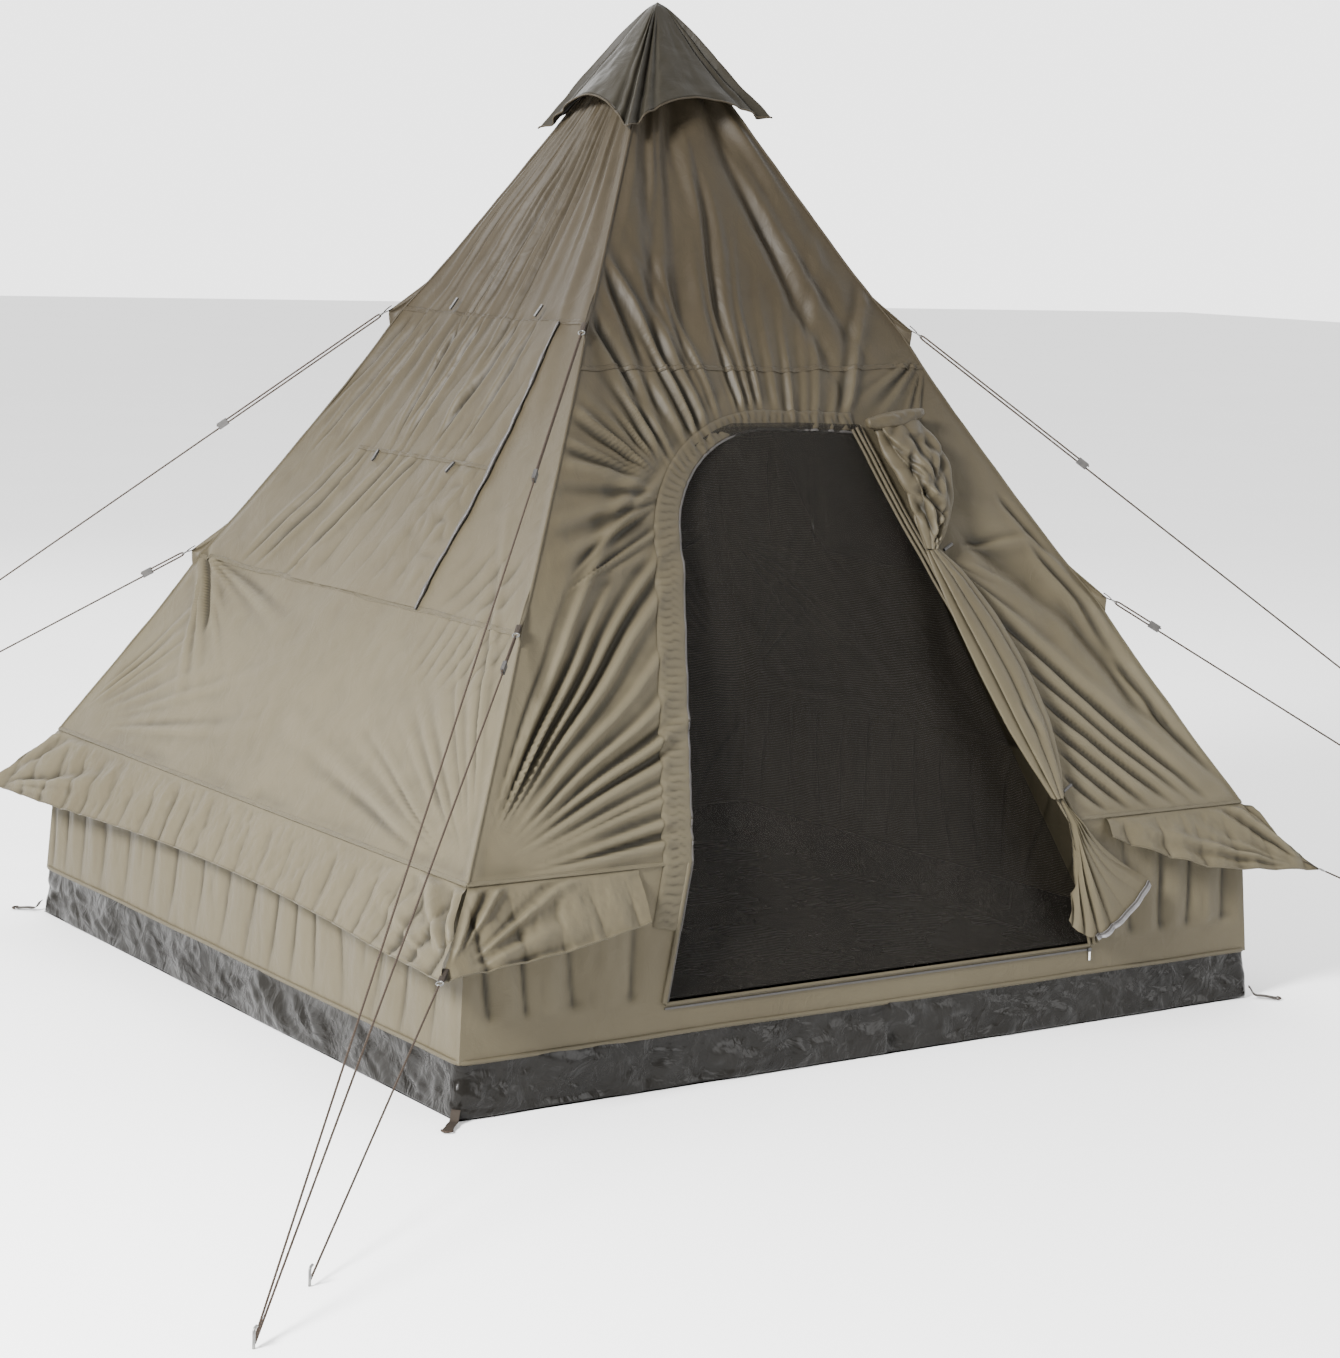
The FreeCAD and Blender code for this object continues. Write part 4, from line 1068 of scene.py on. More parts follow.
def makeWall(face, seed):
    rows, columns = 60, 380
    height = np.linspace(tent["tubTop"] - 0.004, tent["eave"] + 0.001, rows)[:, None]
    half = faceAxes(face)[3] + tent["lean"] * (1 - height / tent["eave"])
    x = np.linspace(-1, 1, columns)[None, :] * half
    height = np.broadcast_to(height, x.shape)
    lift = wallRelief(x, height, seed) * smooth(0.0, 0.05, half - np.abs(x))
    keepMask = None
    if face == "front":
        middleX, middleZ = centres(x), centres(height)
        keepMask = ~((middleZ > doorway["sill"]) & (middleX > doorLeft(middleZ))
                     & (middleX < doorRight(middleZ)))
        near = smooth(0.16, 0.03, np.abs(np.abs(x) - 0.75)) + smooth(0.28, 0.24, height)
        lift = lift * (1 - np.clip(near, 0, 1))
    # with a mask for painted shade in its fold hollows and painted highlight on its crests
    piece = gridPiece("wall_cloth_" + face, wallPoint(face, x, height, lift),
                      np.stack([x, height], -1), canopyCloth, keepMask=keepMask,
                      paintedShading=paintedShadingMask(lift, 3, 0.006))
    finishPiece(piece, "wall_" + face)


for number, face in enumerate(("front", "left", "right", "back")):
    makeWall(face, 100 + 17 * number)

tub = {"corner": 0.030, "crinkle": 0.014, "tuck": 0.97, "tuckHeight": 0.0006, "sideDepth": 0.16}


def tubRing(count, halfX, halfY, corner):
    # a rectangle with rounded corners, its points evenly spaced, starting at the front middle
    quarter = np.linspace(0, np.pi / 2, 12)
    rings = []
    for sx, sy, start in ((1, -1, -np.pi / 2), (1, 1, 0), (-1, 1, np.pi / 2), (-1, -1, np.pi)):
        a = start + quarter
        rings.append(np.stack([sx * (halfX - corner) + corner * np.cos(a),
                               sy * (halfY - corner) + corner * np.sin(a)], -1))
    loop = np.concatenate([[(0.0, -halfY)]] + rings + [[(0.0, -halfY)]])
    return evenly(loop, count + 1)[:-1]


def makeTub():
    rows, columns = 36, 1200
    t = np.linspace(0, 1, rows)[:, None]
    height = tent["tubTop"] + 0.004 - (tent["tubTop"] + 0.0025) * t
    sizes = np.array([tent["halfX"], tent["halfY"]])
    ring = tubRing(columns, *sizes, tub["corner"])
    far, height = np.broadcast_arrays(distances(ring)[None], height)
    centre = ring[None] * (1 - (tent["lean"] * height / tent["eave"] - 0.003)[..., None] / sizes)
    outward = ring / sizes
    outward = outward * (np.abs(outward) > np.abs(outward).max(axis=1, keepdims=True) * 0.97)
    crinkle = (roughNoise(far, height, 0.16, 201, 4)
               + 0.8 * np.abs(noise(far + height * 1.2, height * 1.6, 0.09, 207)))
    lift = tub["crinkle"] * hump(t) ** 0.7 * (crinkle - 0.2)
    points = np.concatenate([centre + unit(outward)[None] * lift[..., None], height[..., None]], -1)
    points[-1, :, :2] *= tub["tuck"]
    points[-1, :, 2] = tub["tuckHeight"]
    piece = gridPiece("tub_sides", points, np.stack([far, height], -1), sheetingMaterial,
                      closeColumns=True, flip=True)
    finishPiece(piece, "groundsheet", slotName="black_sheeting")


def makeFloor():
    x, y = np.meshgrid(np.linspace(-1, 1, 150), np.linspace(-1, 1, 150), indexing="ij")
    x, y = x * (tent["halfX"] - 0.002), y * (tent["halfY"] - 0.002)
    swell = 0.003 * (1 + roughNoise(x, y, 0.5, 301)) + 0.003 * np.abs(noise(x, y, 0.13, 303))
    ends = smooth(0.0, 0.05, tent["halfX"] - np.abs(x))
    ends = ends * smooth(0.0, 0.05, tent["halfY"] - np.abs(y))
    piece = gridPiece("tub_floor", np.stack([x, y, 0.001 + swell * ends], -1),
                      np.stack([x, y], -1), sheetingMaterial)
    finishPiece(piece, slotName="black_sheeting")


def makeTubHem():
    # the welt where the wall is sewn to the tub
    count = 900
    ring = tubRing(count, tent["halfX"] - 0.0075, tent["halfY"] - 0.0075, tub["corner"])
    sag = 0.0015 * noise(np.arange(count) * 0.02, np.zeros(count), 0.3, 31)
    path = np.column_stack([ring, tent["tubTop"] + sag])
    turn = np.linspace(0, 2 * np.pi, 8, endpoint=False)
    outward = unit(np.sign(ring) * (np.abs(ring) > np.array([tent["halfX"], tent["halfY"]]) * 0.97))
    outward = np.column_stack([outward, np.zeros(count)])
    points = (path[:, None] + 0.0055 * np.cos(turn)[None, :, None] * outward[:, None]
              + 0.007 * np.sin(turn)[None, :, None] * up3)
    uv = pairs(np.arange(count)[:, None] * 0.0125, turn[None] / 6.28)
    finishPiece(gridPiece("tub_welt", points, uv, trimCloth, closeRows=True, closeColumns=True))


makeTub()
makeFloor()
makeTubHem()
print("walls and tub ready")


# eave skirts
skirts = {
    "length": math.hypot(tent["skirtReach"], tent["skirtDrop"]),
    "middle": 0.200,
    "stand": 0.003,
    "hem": 0.0028,
    "tipExtra": 0.09,
    "meanExtra": 0.03,
    "pieces": {
        "skirt_left": ("left", -1.0, 1.0, 401),
        "skirt_right": ("right", -1.0, 1.0, 411),
        "skirt_back": ("back", -1.0, 1.0, 421),
        "skirt_front_l": ("front", -1.0, -0.617, 431),
        "skirt_front_r": ("front", 0.595, 1.0, 441),
    },
}


def skirtShape(face, left, right, seed):
    # hung from the eave: drawn out straight at the corner tips, steeper between them
    columns, rows = (420, 60) if right - left > 1.5 else (150, 60)
    s = np.linspace(left, right, columns)[:, None]
    t = np.linspace(0, 1, rows)[None, :]
    along, out, run, half = faceAxes(face)
    depth = skirts["middle"] + (skirts["length"] - skirts["middle"]) * s ** 2
    if right < 0:
        depth = np.interp(s, [left, -0.85, right], [skirts["length"], 0.215, 0.150])
    if left > 0:
        depth = np.interp(s, [left, 0.85, right], [0.060, 0.205, skirts["length"]])
    down = depth * t
    drawn = tent["skirtReach"] * (down / skirts["length"]) * smooth(0.80, 1.0, np.abs(s))
    x = s * half + np.sign(s) * drawn
    steep = math.atan2(tent["skirtReach"], tent["skirtDrop"])
    lean = steep * (0.62 + 0.38 * np.abs(s) ** 3)
    swing = 0.0
    for sign in (-1, 1):
        if left <= sign <= right:
            low, high = (100, 178) if sign > 0 else (2, 80)
            swing = swing + fan(x, -down, (sign * (half + 0.16), -skirts["length"]), low, high, 7,
                                0.16, 0.90, 0.020, seed + sign)
    waves = np.abs(np.sin(np.pi * (x + 0.02 * noise(x, down, 0.2, seed)) / 0.13)) ** 0.7 - 0.6
    broken = 0.35 + 0.65 * noise(x, x * 0, 0.35, seed + 3) ** 2
    strong = 0.022 * waves * broken * smooth(0.0, 0.5, t)
    fine = 0.0035 * roughNoise(x * 1.6, down, 0.07, seed + 5)
    lift = (swing + strong + fine) * smooth(0.0, 0.12, t)
    reach = run + skirts["stand"] + down * np.sin(lean)
    height = tent["eave"] - skirts["stand"] - down * np.cos(lean)
    points = (out * (reach + lift * np.cos(lean))[..., None] + along * x[..., None]
              + up3 * (height + lift * np.sin(lean))[..., None])
    # the last item is a mask for painted shade in the fold hollows and painted highlight on the
    # crests
    return points, pairs(x, down), depth, paintedShadingMask(lift, 4, 0.008)


for name, (face, left, right, seed) in skirts["pieces"].items():
    points, uv, depth, paintedShading = skirtShape(face, left, right, seed)
    piece = gridPiece(name + "_cloth", points, uv, canopyCloth, paintedShading=paintedShading)
    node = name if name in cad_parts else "skirt_front"
    finishPiece(piece, node)
    tube(name + "_hem", points[:, -1], skirts["hem"], 6, (0.2, 0.3, 1), trimCloth)


def makeEaveSeam(face):
    out, half = faceAxes(face)[1], faceAxes(face)[3]
    x = np.linspace(-half, half, 300)
    clear = doorway["halfEave"] + 0.015
    parts = [x] if face != "front" else [x[x < -clear], x[x > clear]]
    for number, part in enumerate(parts):
        centre = roofPoint(face, part, np.full_like(part, 0.004), 0.002)
        finishPiece(tape("eave_seam_%s_%d" % (face, number), centre, up3 * 0.72 - out * 0.69, 0.014,
                         out * 0.72 + up3 * 0.69, 0.002, trimCloth, 0.001, 9))


for face in faceTurn:
    makeEaveSeam(face)
print("skirts ready")


# peak cap: a loose four-sided hood, pleated down its ridges, its hem arched between the tips
cap = {"top": 3.043, "arch": 2.738, "tips": (2.642, 2.690, 2.660, 2.640), "halfX": 0.262,
       "halfY": 0.250, "tuck": 0.11, "pleat": 0.020, "flare": 0.020, "hem": 0.0030,
       "flat": (1.06, 0.48), "area": 0.40}


def makeCap():
    rows, steps = 110, 130
    q = np.linspace(-1, 1, steps, endpoint=False)
    corners = np.array([(-1, -1), (1, -1), (1, 1), (-1, 1)]) * (cap["halfX"], cap["halfY"])
    share = ((q + 1) / 2)[None, :, None]
    nextCorners = np.roll(corners, -1, axis=0)
    hemXY = (corners[:, None] * (1 - share) + nextCorners[:, None] * share).reshape(-1, 2)
    tips, share = np.array(cap["tips"]), share[..., 0]
    tipZ = (tips[:, None] * (1 - share) + np.roll(tips, -1)[:, None] * share).ravel()
    q = np.tile(q, 4)
    side = np.repeat(np.arange(4), steps)
    hemXY = hemXY * (1 - cap["tuck"] * (1 - q ** 2))[:, None]
    hemZ = tipZ + (cap["arch"] - tipZ) * (1 - np.abs(q) ** 1.9)
    t = np.linspace(0.012, 1, rows)[:, None]
    blunt = t + 0.055 * (1 - np.exp(-t / 0.03)) * (1 - t)
    x, y = hemXY[None, :, 0] * blunt, hemXY[None, :, 1] * blunt
    z = cap["top"] + (hemZ[None] - cap["top"]) * t
    away = 1 - np.abs(q)
    valley = np.exp(-((away - 0.13) / 0.055) ** 2) + 0.45 * np.exp(-((away - 0.36) / 0.06) ** 2)
    strong = np.where((side == 0) | (side == 3), 1.0, 0.7)
    broken = 1 + 0.5 * noise(q[None] * 0.8 + side[None] * 3.0, t * 0.6, 0.3, 507)
    lift = -cap["pleat"] * valley[None] * strong[None] * broken * smooth(0.02, 0.30, t)
    lift = lift + 0.010 * np.exp(-(away / 0.05) ** 2)[None] * smooth(0.0, 0.3, t)
    lift = lift + cap["flare"] * (1 - q ** 2)[None] * t ** 3
    lift = lift + 0.007 * roughNoise(q[None] * 0.25 + side[None] * 1.7, t * 0.4, 0.12, 505) * t
    outward = np.column_stack([unit(hemXY) * 0.84, np.full(len(q), 0.54)])
    points = np.stack(np.broadcast_arrays(x, y, z), -1) + outward[None] * lift[..., None]
    points[..., 2] = np.minimum(points[..., 2], cap["top"])
    uv = pairs(np.linspace(0, 2.1, len(q))[None], t * 0.42)
    rim = points[-1] * np.array([0.975, 0.975, 1.0]) + np.array([0, 0, 0.010])
    crown = np.broadcast_to([0.0, 0.0, cap["top"] + 0.002], points[:1].shape)
    # a mask for painted shade in the pleat hollows and painted highlight on the crests, wrapped
    # round the hood
    paintedShading = paintedShadingMask(np.concatenate([lift[:, -8:], lift, lift[:, :8]], 1), 4, 0.006)[:, 8:-8]
    points = np.concatenate([crown + (points[:1] - crown) * 0.05, points, rim[None]])
    uv = np.concatenate([uv[:1], uv, uv[-1:]])
    paintedShading = np.concatenate([paintedShading[:1], paintedShading, paintedShading[-1:]])
    piece = gridPiece("cap_cloth", points, uv, capCloth, closeColumns=True, flip=True, paintedShading=paintedShading)
    finishPiece(piece, "peak_cap")
    hem = np.concatenate([points[-2], points[-2, :1]]) + up3 * 0.002
    tube("cap_hem", hem, cap["hem"], 6, (0.1, 0.2, 1), trimCloth)


makeCap()
print("cap ready")


# doorway: placket on the zip side, bound edge on the hinge side
placket = {"low": 0.085, "top": 0.055, "end": 0.440, "lift": 0.004, "pucker": 0.0050,
           "length": 2.45, "cut": 0.092}


def doorLinePoints():
    # across and run-up: below the eave the run is minus the drop down the wall
    low = (-doorLow(placket["end"]), placket["end"] - tent["eave"])
    return np.concatenate([[low], [(-doorway["halfEave"], 0.0)], arch, [doorTopRight]])


def lineFrame(line, count):
    # a line in the plane with evenly spaced points, and its left-hand normals
    line = evenly(line, count)
    tangent = unit(np.gradient(line, axis=0))
    return line, np.stack([-tangent[:, 1], tangent[:, 0]], -1)


def frontAt(x, run, lift):
    # the roof above the eave, the wall below it
    x, run, lift = arrays(x, run, lift)
    high = skinPoint("front", x, np.maximum(run, 0), lift)
    low = wallPoint("front", x, tent["eave"] + np.minimum(run, 0), lift)
    share = smooth(-0.02, 0.02, run)[..., None]
    return high * share + low * (1 - share)


def makePlacket():
    count = 420
    line, normal = lineFrame(doorLinePoints(), count)
    share = np.linspace(0, 1, count)
    width = placket["low"] + (placket["top"] - placket["low"]) * smooth(0.45, 0.8, share)
    w = np.array([-0.16, -0.12, -0.05, 0.0, 0.08, 0.2, 0.35, 0.5, 0.65, 0.8, 0.92, 0.98, 1.0])
    flat = line[:, None] + normal[:, None] * (width[:, None] * w[None])[..., None]
    far, w = np.broadcast_arrays((share * 2.6)[:, None], w[None])
    wave = np.abs(np.sin(np.pi * (far + 0.004 * w) / 0.031 + 1.6 * noise(far, w, 0.3, 601))) ** 0.7
    body = np.interp(w, [-0.16, -0.05, 0.08, 0.5, 0.92, 1.0], [-0.5, 0.8, 1.0, 0.9, 0.9, 0.0])
    lift = (placket["lift"] * body + 0.002
            + placket["pucker"] * (wave - 0.5) * hump((w + 0.05) / 1.05))
    # with a mask for painted shade in its puckers and painted highlight on their crests
    piece = gridPiece("door_placket_cloth", frontAt(flat[..., 0], flat[..., 1], lift),
                      np.stack([far, w * 0.085], -1), trimCloth, flip=True,
                      paintedShading=paintedShadingMask(lift, 2, 0.005))
    finishPiece(piece, "door_placket")


makePlacket()
sillRun = doorway["sill"] - tent["eave"]
hingeJamb = np.array([(doorway["halfSill"], sillRun), (doorway["halfEave"], 0.0), doorTopRight])
zipJambLow = np.array([(-doorway["halfSill"], sillRun), (-doorway["halfEave"], 0.0)])
sillLine = np.array([(-doorway["halfSill"], sillRun), (doorway["halfSill"], sillRun)])
edges = {  # line, sideways, radius, material, lift, points
    "zip_edge_left": (doorLinePoints(), -0.010, 0.0040, zipMaterial, 0.001, 420),
    "jamb_edge_low": (zipJambLow, 0.002, 0.0085, trimCloth, 0.002, 80),
    "zip_edge_low": (zipJambLow, -0.009, 0.0035, zipMaterial, 0.001, 80),
    "jamb_edge_inner": (hingeJamb, 0.006, 0.0050, trimCloth, 0.004, 300),
    "jamb_edge_middle": (hingeJamb, -0.010, 0.0058, canopyCloth, 0.007, 300),
    "jamb_edge_outer": (hingeJamb, -0.027, 0.0062, trimCloth, 0.005, 300),
    "sill_edge": (sillLine, 0.0, 0.0050, trimCloth, 0.004, 300),
}
for name, (line, aside, radius, material, lift, count) in edges.items():
    line, normal = lineFrame(line, count)
    line = line + normal * aside
    tube(name, frontAt(line[:, 0], line[:, 1], lift), radius, 7, (0.3, 0.4, 1), material)
print("doorway ready")


# the outer door, gathered along the hinge side and tied at two toggles
def frontPoint(x, height, lift):
    # straight out from the roof above the eave, from the wall below it
    x, height, lift = arrays(x, height, lift)
    roofY = eaveY * (tent["peak"] - height) / rise
    wallY = eaveY + tent["lean"] * (1 - height / tent["eave"])
    y = np.where(height > tent["eave"], roofY, wallY)
    return np.stack([x, -(y + lift), height], -1)


gathered = {
    "upper": {  # across, height, stand-off, width, depth
        "line": [(0.440, 1.800, 0.030, 0.150, 0.060), (0.458, 1.740, 0.036, 0.190, 0.078),
                 (0.485, 1.660, 0.038, 0.200, 0.080), (0.490, 1.575, 0.036, 0.165, 0.074),
                 (0.476, 1.505, 0.030, 0.120, 0.060), (0.460, 1.445, 0.024, 0.066, 0.044),
                 (0.452, 1.412, 0.018, 0.036, 0.030)],
        "lobes": 5, "depth": 0.14, "facet": 0.014, "dents": 22, "seed": 701},
    "middle": {
        "line": [(0.452, 1.412, 0.018, 0.036, 0.030), (0.490, 1.335, 0.024, 0.092, 0.044),
                 (0.540, 1.200, 0.028, 0.140, 0.050), (0.586, 1.050, 0.030, 0.158, 0.052),
                 (0.624, 0.900, 0.028, 0.144, 0.048), (0.650, 0.780, 0.022, 0.092, 0.038),
                 (0.664, 0.695, 0.016, 0.036, 0.028)],
        "lobes": 7, "depth": 0.26, "facet": 0.004, "dents": 6, "seed": 711},
}


def makeGathered(name, look):
    # an oval carried along a line, its rim pushed in by lengthwise lobes and by slanted folds
    rows, around = 220, 170
    line = np.array(look["line"])
    want = np.linspace(0, 1, rows)
    at = np.linspace(0, 1, len(line))
    smoothLine = np.stack([np.interp(want, at, line[:, k]) for k in range(5)], -1)
    kernel = np.hanning(31) / np.hanning(31).sum()
    for k in range(5):
        padded = np.concatenate([2 * smoothLine[0, k] - smoothLine[15:0:-1, k], smoothLine[:, k],
                                 2 * smoothLine[-1, k] - smoothLine[-2:-17:-1, k]])
        smoothLine[:, k] = np.convolve(padded, kernel, "valid")
    angle = np.linspace(0, 2 * np.pi, around, endpoint=False)[None, :]
    s = want[:, None]
    cosA, sinA = np.cos(angle), np.sin(angle)
    seed = look["seed"]
    sway = 1.1 * noise(s * 0.6, angle * 0, 0.3, seed)
    ring = np.abs(np.sin(angle * look["lobes"] / 2 + sway)) ** 0.55
    swell = 1 + look["depth"] * (ring - 0.6) * 2
    length = np.linalg.norm(line[-1, :2] - line[0, :2])
    across, along = cosA * 0.09 + 0 * s, s * length + 0 * angle
    random = np.random.RandomState(seed)
    facets = 0.0
    for k in range(look["dents"]):
        u, v = random.uniform(-0.08, 0.08), random.uniform(0.02, length - 0.02)
        turn, reach = random.uniform(0.3, 2.6), random.uniform(0.05, 0.11)
        du, dv = reach * math.cos(turn), reach * math.sin(turn)
        facets = facets + crease(across, along, (u - du, v - dv), (u + du, v + dv),
                                 random.uniform(0.009, 0.016), look["facet"])
    facets = facets * hump(s) ** 0.5
    width, deep = smoothLine[:, 3:4] / 2, smoothLine[:, 4:5] / 2
    x = smoothLine[:, :1] + (width * swell + facets * 0.5) * cosA
    push = facets * np.maximum(sinA, 0)
    lift = smoothLine[:, 2:3] + deep * swell * sinA + push
    lift = np.maximum(lift, 0.006 + 0.002 * np.sin(angle * 3))
    slantX, slantZ = np.gradient(smoothLine[:, 0]), np.gradient(smoothLine[:, 1])
    tilt = (slantX / np.hypot(slantX, slantZ))[:, None] * 0.6
    height = smoothLine[:, 1:2] + (width * swell) * cosA * tilt
    points = frontPoint(x, height, lift)
    low, high = points[:1].mean(axis=1, keepdims=True), points[-1:].mean(axis=1, keepdims=True)
    # a mask for painted shade in the hollows between the lobes and painted highlight on their
    # crests
    paintedShading = paintedShadingMask(deep * swell + push, 6, 0.006)
    points = np.concatenate([low + (points[:1] - low) * 0.03, points,
                             high + (points[-1:] - high) * 0.03])
    paintedShading = np.concatenate([paintedShading[:1], paintedShading, paintedShading[-1:]])
    uv = pairs(np.linspace(0, 0.8, rows + 2)[:, None], angle * 0.04)
    finishPiece(gridPiece(name, points, uv, canopyCloth, closeColumns=True, paintedShading=paintedShading), "door_panel")


for part, look in gathered.items():
    makeGathered("door_gather_" + part, look)


def makeLobe():
    # the rolled top of the door, lying across the arch's square corner
    t = np.linspace(0, 1, 60)
    x = 0.325 + 0.225 * t
    height = 1.783 + 0.030 * t - 0.008 * np.sin(np.pi * t)
    path = frontPoint(x, height, 0.044)
    radius = 0.028 * hump(0.08 + t * 0.88) ** 0.6 + 0.002
    piece = tube("door_roll", path, radius, 40, (0, 0, 1), canopyCloth)
    co = np.zeros(len(piece.data.vertices) * 3, np.float32)
    piece.data.vertices.foreach_get("co", co)
    co = co.reshape(-1, 3)
    push = 0.004 * roughNoise(co[:, 0] * 1.0, co[:, 2] * 2.0, 0.05, 721)
    co[:, 1] -= push
    co[:, 2] += push * 0.7
    piece.data.vertices.foreach_set("co", co.ravel())


makeLobe()

flare = {
    "tie": (0.671, 0.690, 0.018),
    "hem": [(0.672, 0.330, 0.020), (0.700, 0.296, 0.030), (0.745, 0.274, 0.040),
            (0.784, 0.284, 0.052), (0.850, 0.322, 0.056), (0.915, 0.370, 0.056),
            (0.965, 0.415, 0.050), (0.986, 0.434, 0.040)],
}


def makeFlare():
    # a fan of cloth from the tie to the hem: close pleats at the tie that open downwards
    rows, columns = 130, 170
    hem = evenly(flare["hem"], columns)[None]
    tie = np.array(flare["tie"])[None, None]
    t = np.linspace(0.0, 1, rows)[:, None, None]
    s = np.linspace(0, 1, columns)[None, :, None]
    spread = 0.07 + 0.93 * t ** 1.15
    bow = np.concatenate([-0.030 * np.sin(np.pi * s) * np.sin(np.pi * t), 0 * s * t, 0 * s * t], -1)
    flat = tie * (1 - t) + hem * t
    middle = tie * (1 - t) + hem.mean(axis=1, keepdims=True) * t
    flat = middle + (flat - middle) * (0.35 + 0.65 * spread / (0.02 + t) * t) + bow
    s2, t2 = s[..., 0], t[..., 0]
    wave = np.abs(np.sin(np.pi * (s2 * 6.0 + 0.8 * noise(s2 * 1.0, t2, 0.5, 731)))) ** 0.7 - 0.55
    calm = 1 - 0.85 * smooth(0.35, 0.60, s2) * smooth(0.10, 0.45, t2)
    pleat = 0.034 * wave * hump(t2 * 0.72 + 0.16) * calm
    belly = 0.020 * np.sin(np.pi * t2) * np.sin(np.pi * s2)
    lift = np.maximum(flat[..., 2] + pleat + belly, 0.008)
    points = frontPoint(flat[..., 0], flat[..., 1], lift)
    # with a mask for painted shade in its pleat hollows and painted highlight on their crests
    piece = gridPiece("door_flare", points, pairs(s2 * 0.4, t2 * 0.45), canopyCloth,
                      paintedShading=paintedShadingMask(lift, 4, 0.008))
    finishPiece(piece)
    zipRun = points[-1][int(columns * 0.28):int(columns * 0.97)]
    finishPiece(tape("door_zip_tape", zipRun + np.array([0.004, -0.004, -0.004]),
                     (0.45, -0.25, -0.86), 0.019, (0.1, -0.95, 0.2), 0.0035,
                     plastics["zipTapePale"]))
    tube("door_zip_coil", zipRun + np.array([0, -0.006, 0.002]), 0.0035, 7, (0.3, 0.2, 1),
         zipMaterial)


makeFlare()
print("door ready")


# window flaps, nets and the zip up one side of each window
flaps = {"half": 0.3945, "lift": 0.0050, "flat": (0.80, 0.965), "hemHeight": 1.640,
         "hemToggles": {"left": (-0.268, 0.200), "right": (-0.200, 0.268)}}


def flapLift(face, x, up):
    # small pillows and sagging creases, let down at the sewn edges
    low, high = upAt(face, tent["sideSeamLow"]), upAt(face, tent["sideSeamHigh"])
    t = (up - low) / (high - low)
    ends = smooth(0.0, 0.12, t) * smooth(1.0, 0.9, t) * smooth(0.0, 0.08, flaps["half"] - np.abs(x))
    sign = 1 if face == "left" else -1
    slant = pleats(x, up, 66 if face == "left" else 114, 0.105, 0.009, 811, 0.35, 0.45) - 0.006
    crush = 0.006 * np.abs(noise(x, up, 0.06, 813)) * smooth(-0.05, 0.30, sign * x)
    crush = crush * smooth(0.62, 0.5, t)
    swell = 0.006 * roughNoise(x, up, 0.22, 815)
    return flaps["lift"] + ends * (slant + crush + np.maximum(swell, -0.002)) + 0.004 * ends


def makeFlap(face):
    body = "window_flap_" + face
    low, high = upAt(face, tent["sideSeamLow"]) + 0.002, upAt(face, tent["sideSeamHigh"]) - 0.001
    x, up = np.broadcast_arrays(np.linspace(-flaps["half"], flaps["half"], 150)[None, :],
                                np.linspace(low, high, 170)[:, None])
    lift = flapLift(face, x, up)
    # with a mask for painted shade in its fold hollows and painted highlight on its crests
    piece = gridPiece("window_flap_cloth_" + face, skinPoint(face, x, up, lift),
                      np.stack([x, up], -1), canopyCloth,
                      paintedShading=paintedShadingMask(relief(face, x, up) + lift, 5, 0.008))
    finishPiece(piece, body, body=body)
    hemX = np.linspace(-flaps["half"], flaps["half"], 120)
    hemUp = upAt(face, flaps["hemHeight"]) + 0 * hemX
    normal, side = slopeAxes(face)
    centre = skinPoint(face, hemX, hemUp, flapLift(face, hemX, hemUp) + 0.001)
    finishPiece(tape("window_hem_" + face, centre, side, 0.013, normal, 0.0014, trimCloth,
                     0.001, 6), body=body)
    for number, place in enumerate(flaps["hemToggles"][face]):
        t = np.linspace(-0.5, 0.5, 14)
        spotUp = hemUp[0] - 0.020 + t * 0.040
        spot = skinPoint(face, place + t * 0.012, spotUp,
                         flapLift(face, place + 0 * t, spotUp) + 0.006)
        radius = 0.0048 * np.sin(np.pi * (0.12 + 0.76 * (t + 0.5))) ** 0.3
        tube("hem_toggle_%s_%d" % (face, number), spot, radius, 8, (0.3, 0.2, 1),
             runnerMaterial, body=body, slotName="black_plastic")


def makeNetPanel(face):
    low, high = windowSize["low"] - 0.012, windowSize["high"] + 0.012
    half = windowSize["netHalf"]
    x, up = np.meshgrid(np.linspace(-half, half, 90), np.linspace(low, high, 100))
    points = skinPoint(face, x, up, -0.004 - 0.003 * np.abs(noise(x, up, 0.2, 821)))
    piece = gridPiece("window_net_cloth_" + face, points, np.stack([x, up], -1), netMaterial)
    finishPiece(piece, "window_net_" + face, slotName="black_mesh")


def makeWindowZip(face):
    sign = 1 if face == "left" else -1
    low, high = upAt(face, tent["sideSeamLow"]) - 0.004, upAt(face, tent["sideSeamHigh"]) - 0.006
    up = np.linspace(low, high, 220)
    x = sign * (0.399 + 0.003 * noise(up, up * 0, 0.05, 831))
    path = skinPoint(face, x, up, 0.0075)
    radius = 0.0052 * (1 + 0.45 * noise(up, up * 0, 0.035, 833))
    tube("window_zip_" + face, path, radius, 8, (0.3, 0.2, 1), zipMaterial, slotName="black_mesh")


for face in ("left", "right"):
    makeFlap(face)
    makeNetPanel(face)
    makeWindowZip(face)
print("windows ready")


# insect-net door
net = {"foot": 0.250, "head": 1.785, "halfFoot": 0.830, "headRight": 0.330, "gap": 0.0055,
       "round": 0.008, "flat": 1.66, "share": 0.66}


def netPlane(x, v, lift):
    footY = -(tent["halfY"] - tent["lean"] * net["foot"] / tent["eave"]) + net["gap"]
    headY = -(eaveY * (tent["peak"] - net["head"]) / rise) + net["gap"]
    length = math.hypot(headY - footY, net["head"] - net["foot"])
    dy, dz = (headY - footY) / length, (net["head"] - net["foot"]) / length
    x, v, lift = arrays(x, v, lift)
    return np.stack([x, footY + dy * v + dz * lift, net["foot"] + dz * v - dy * lift], -1), length


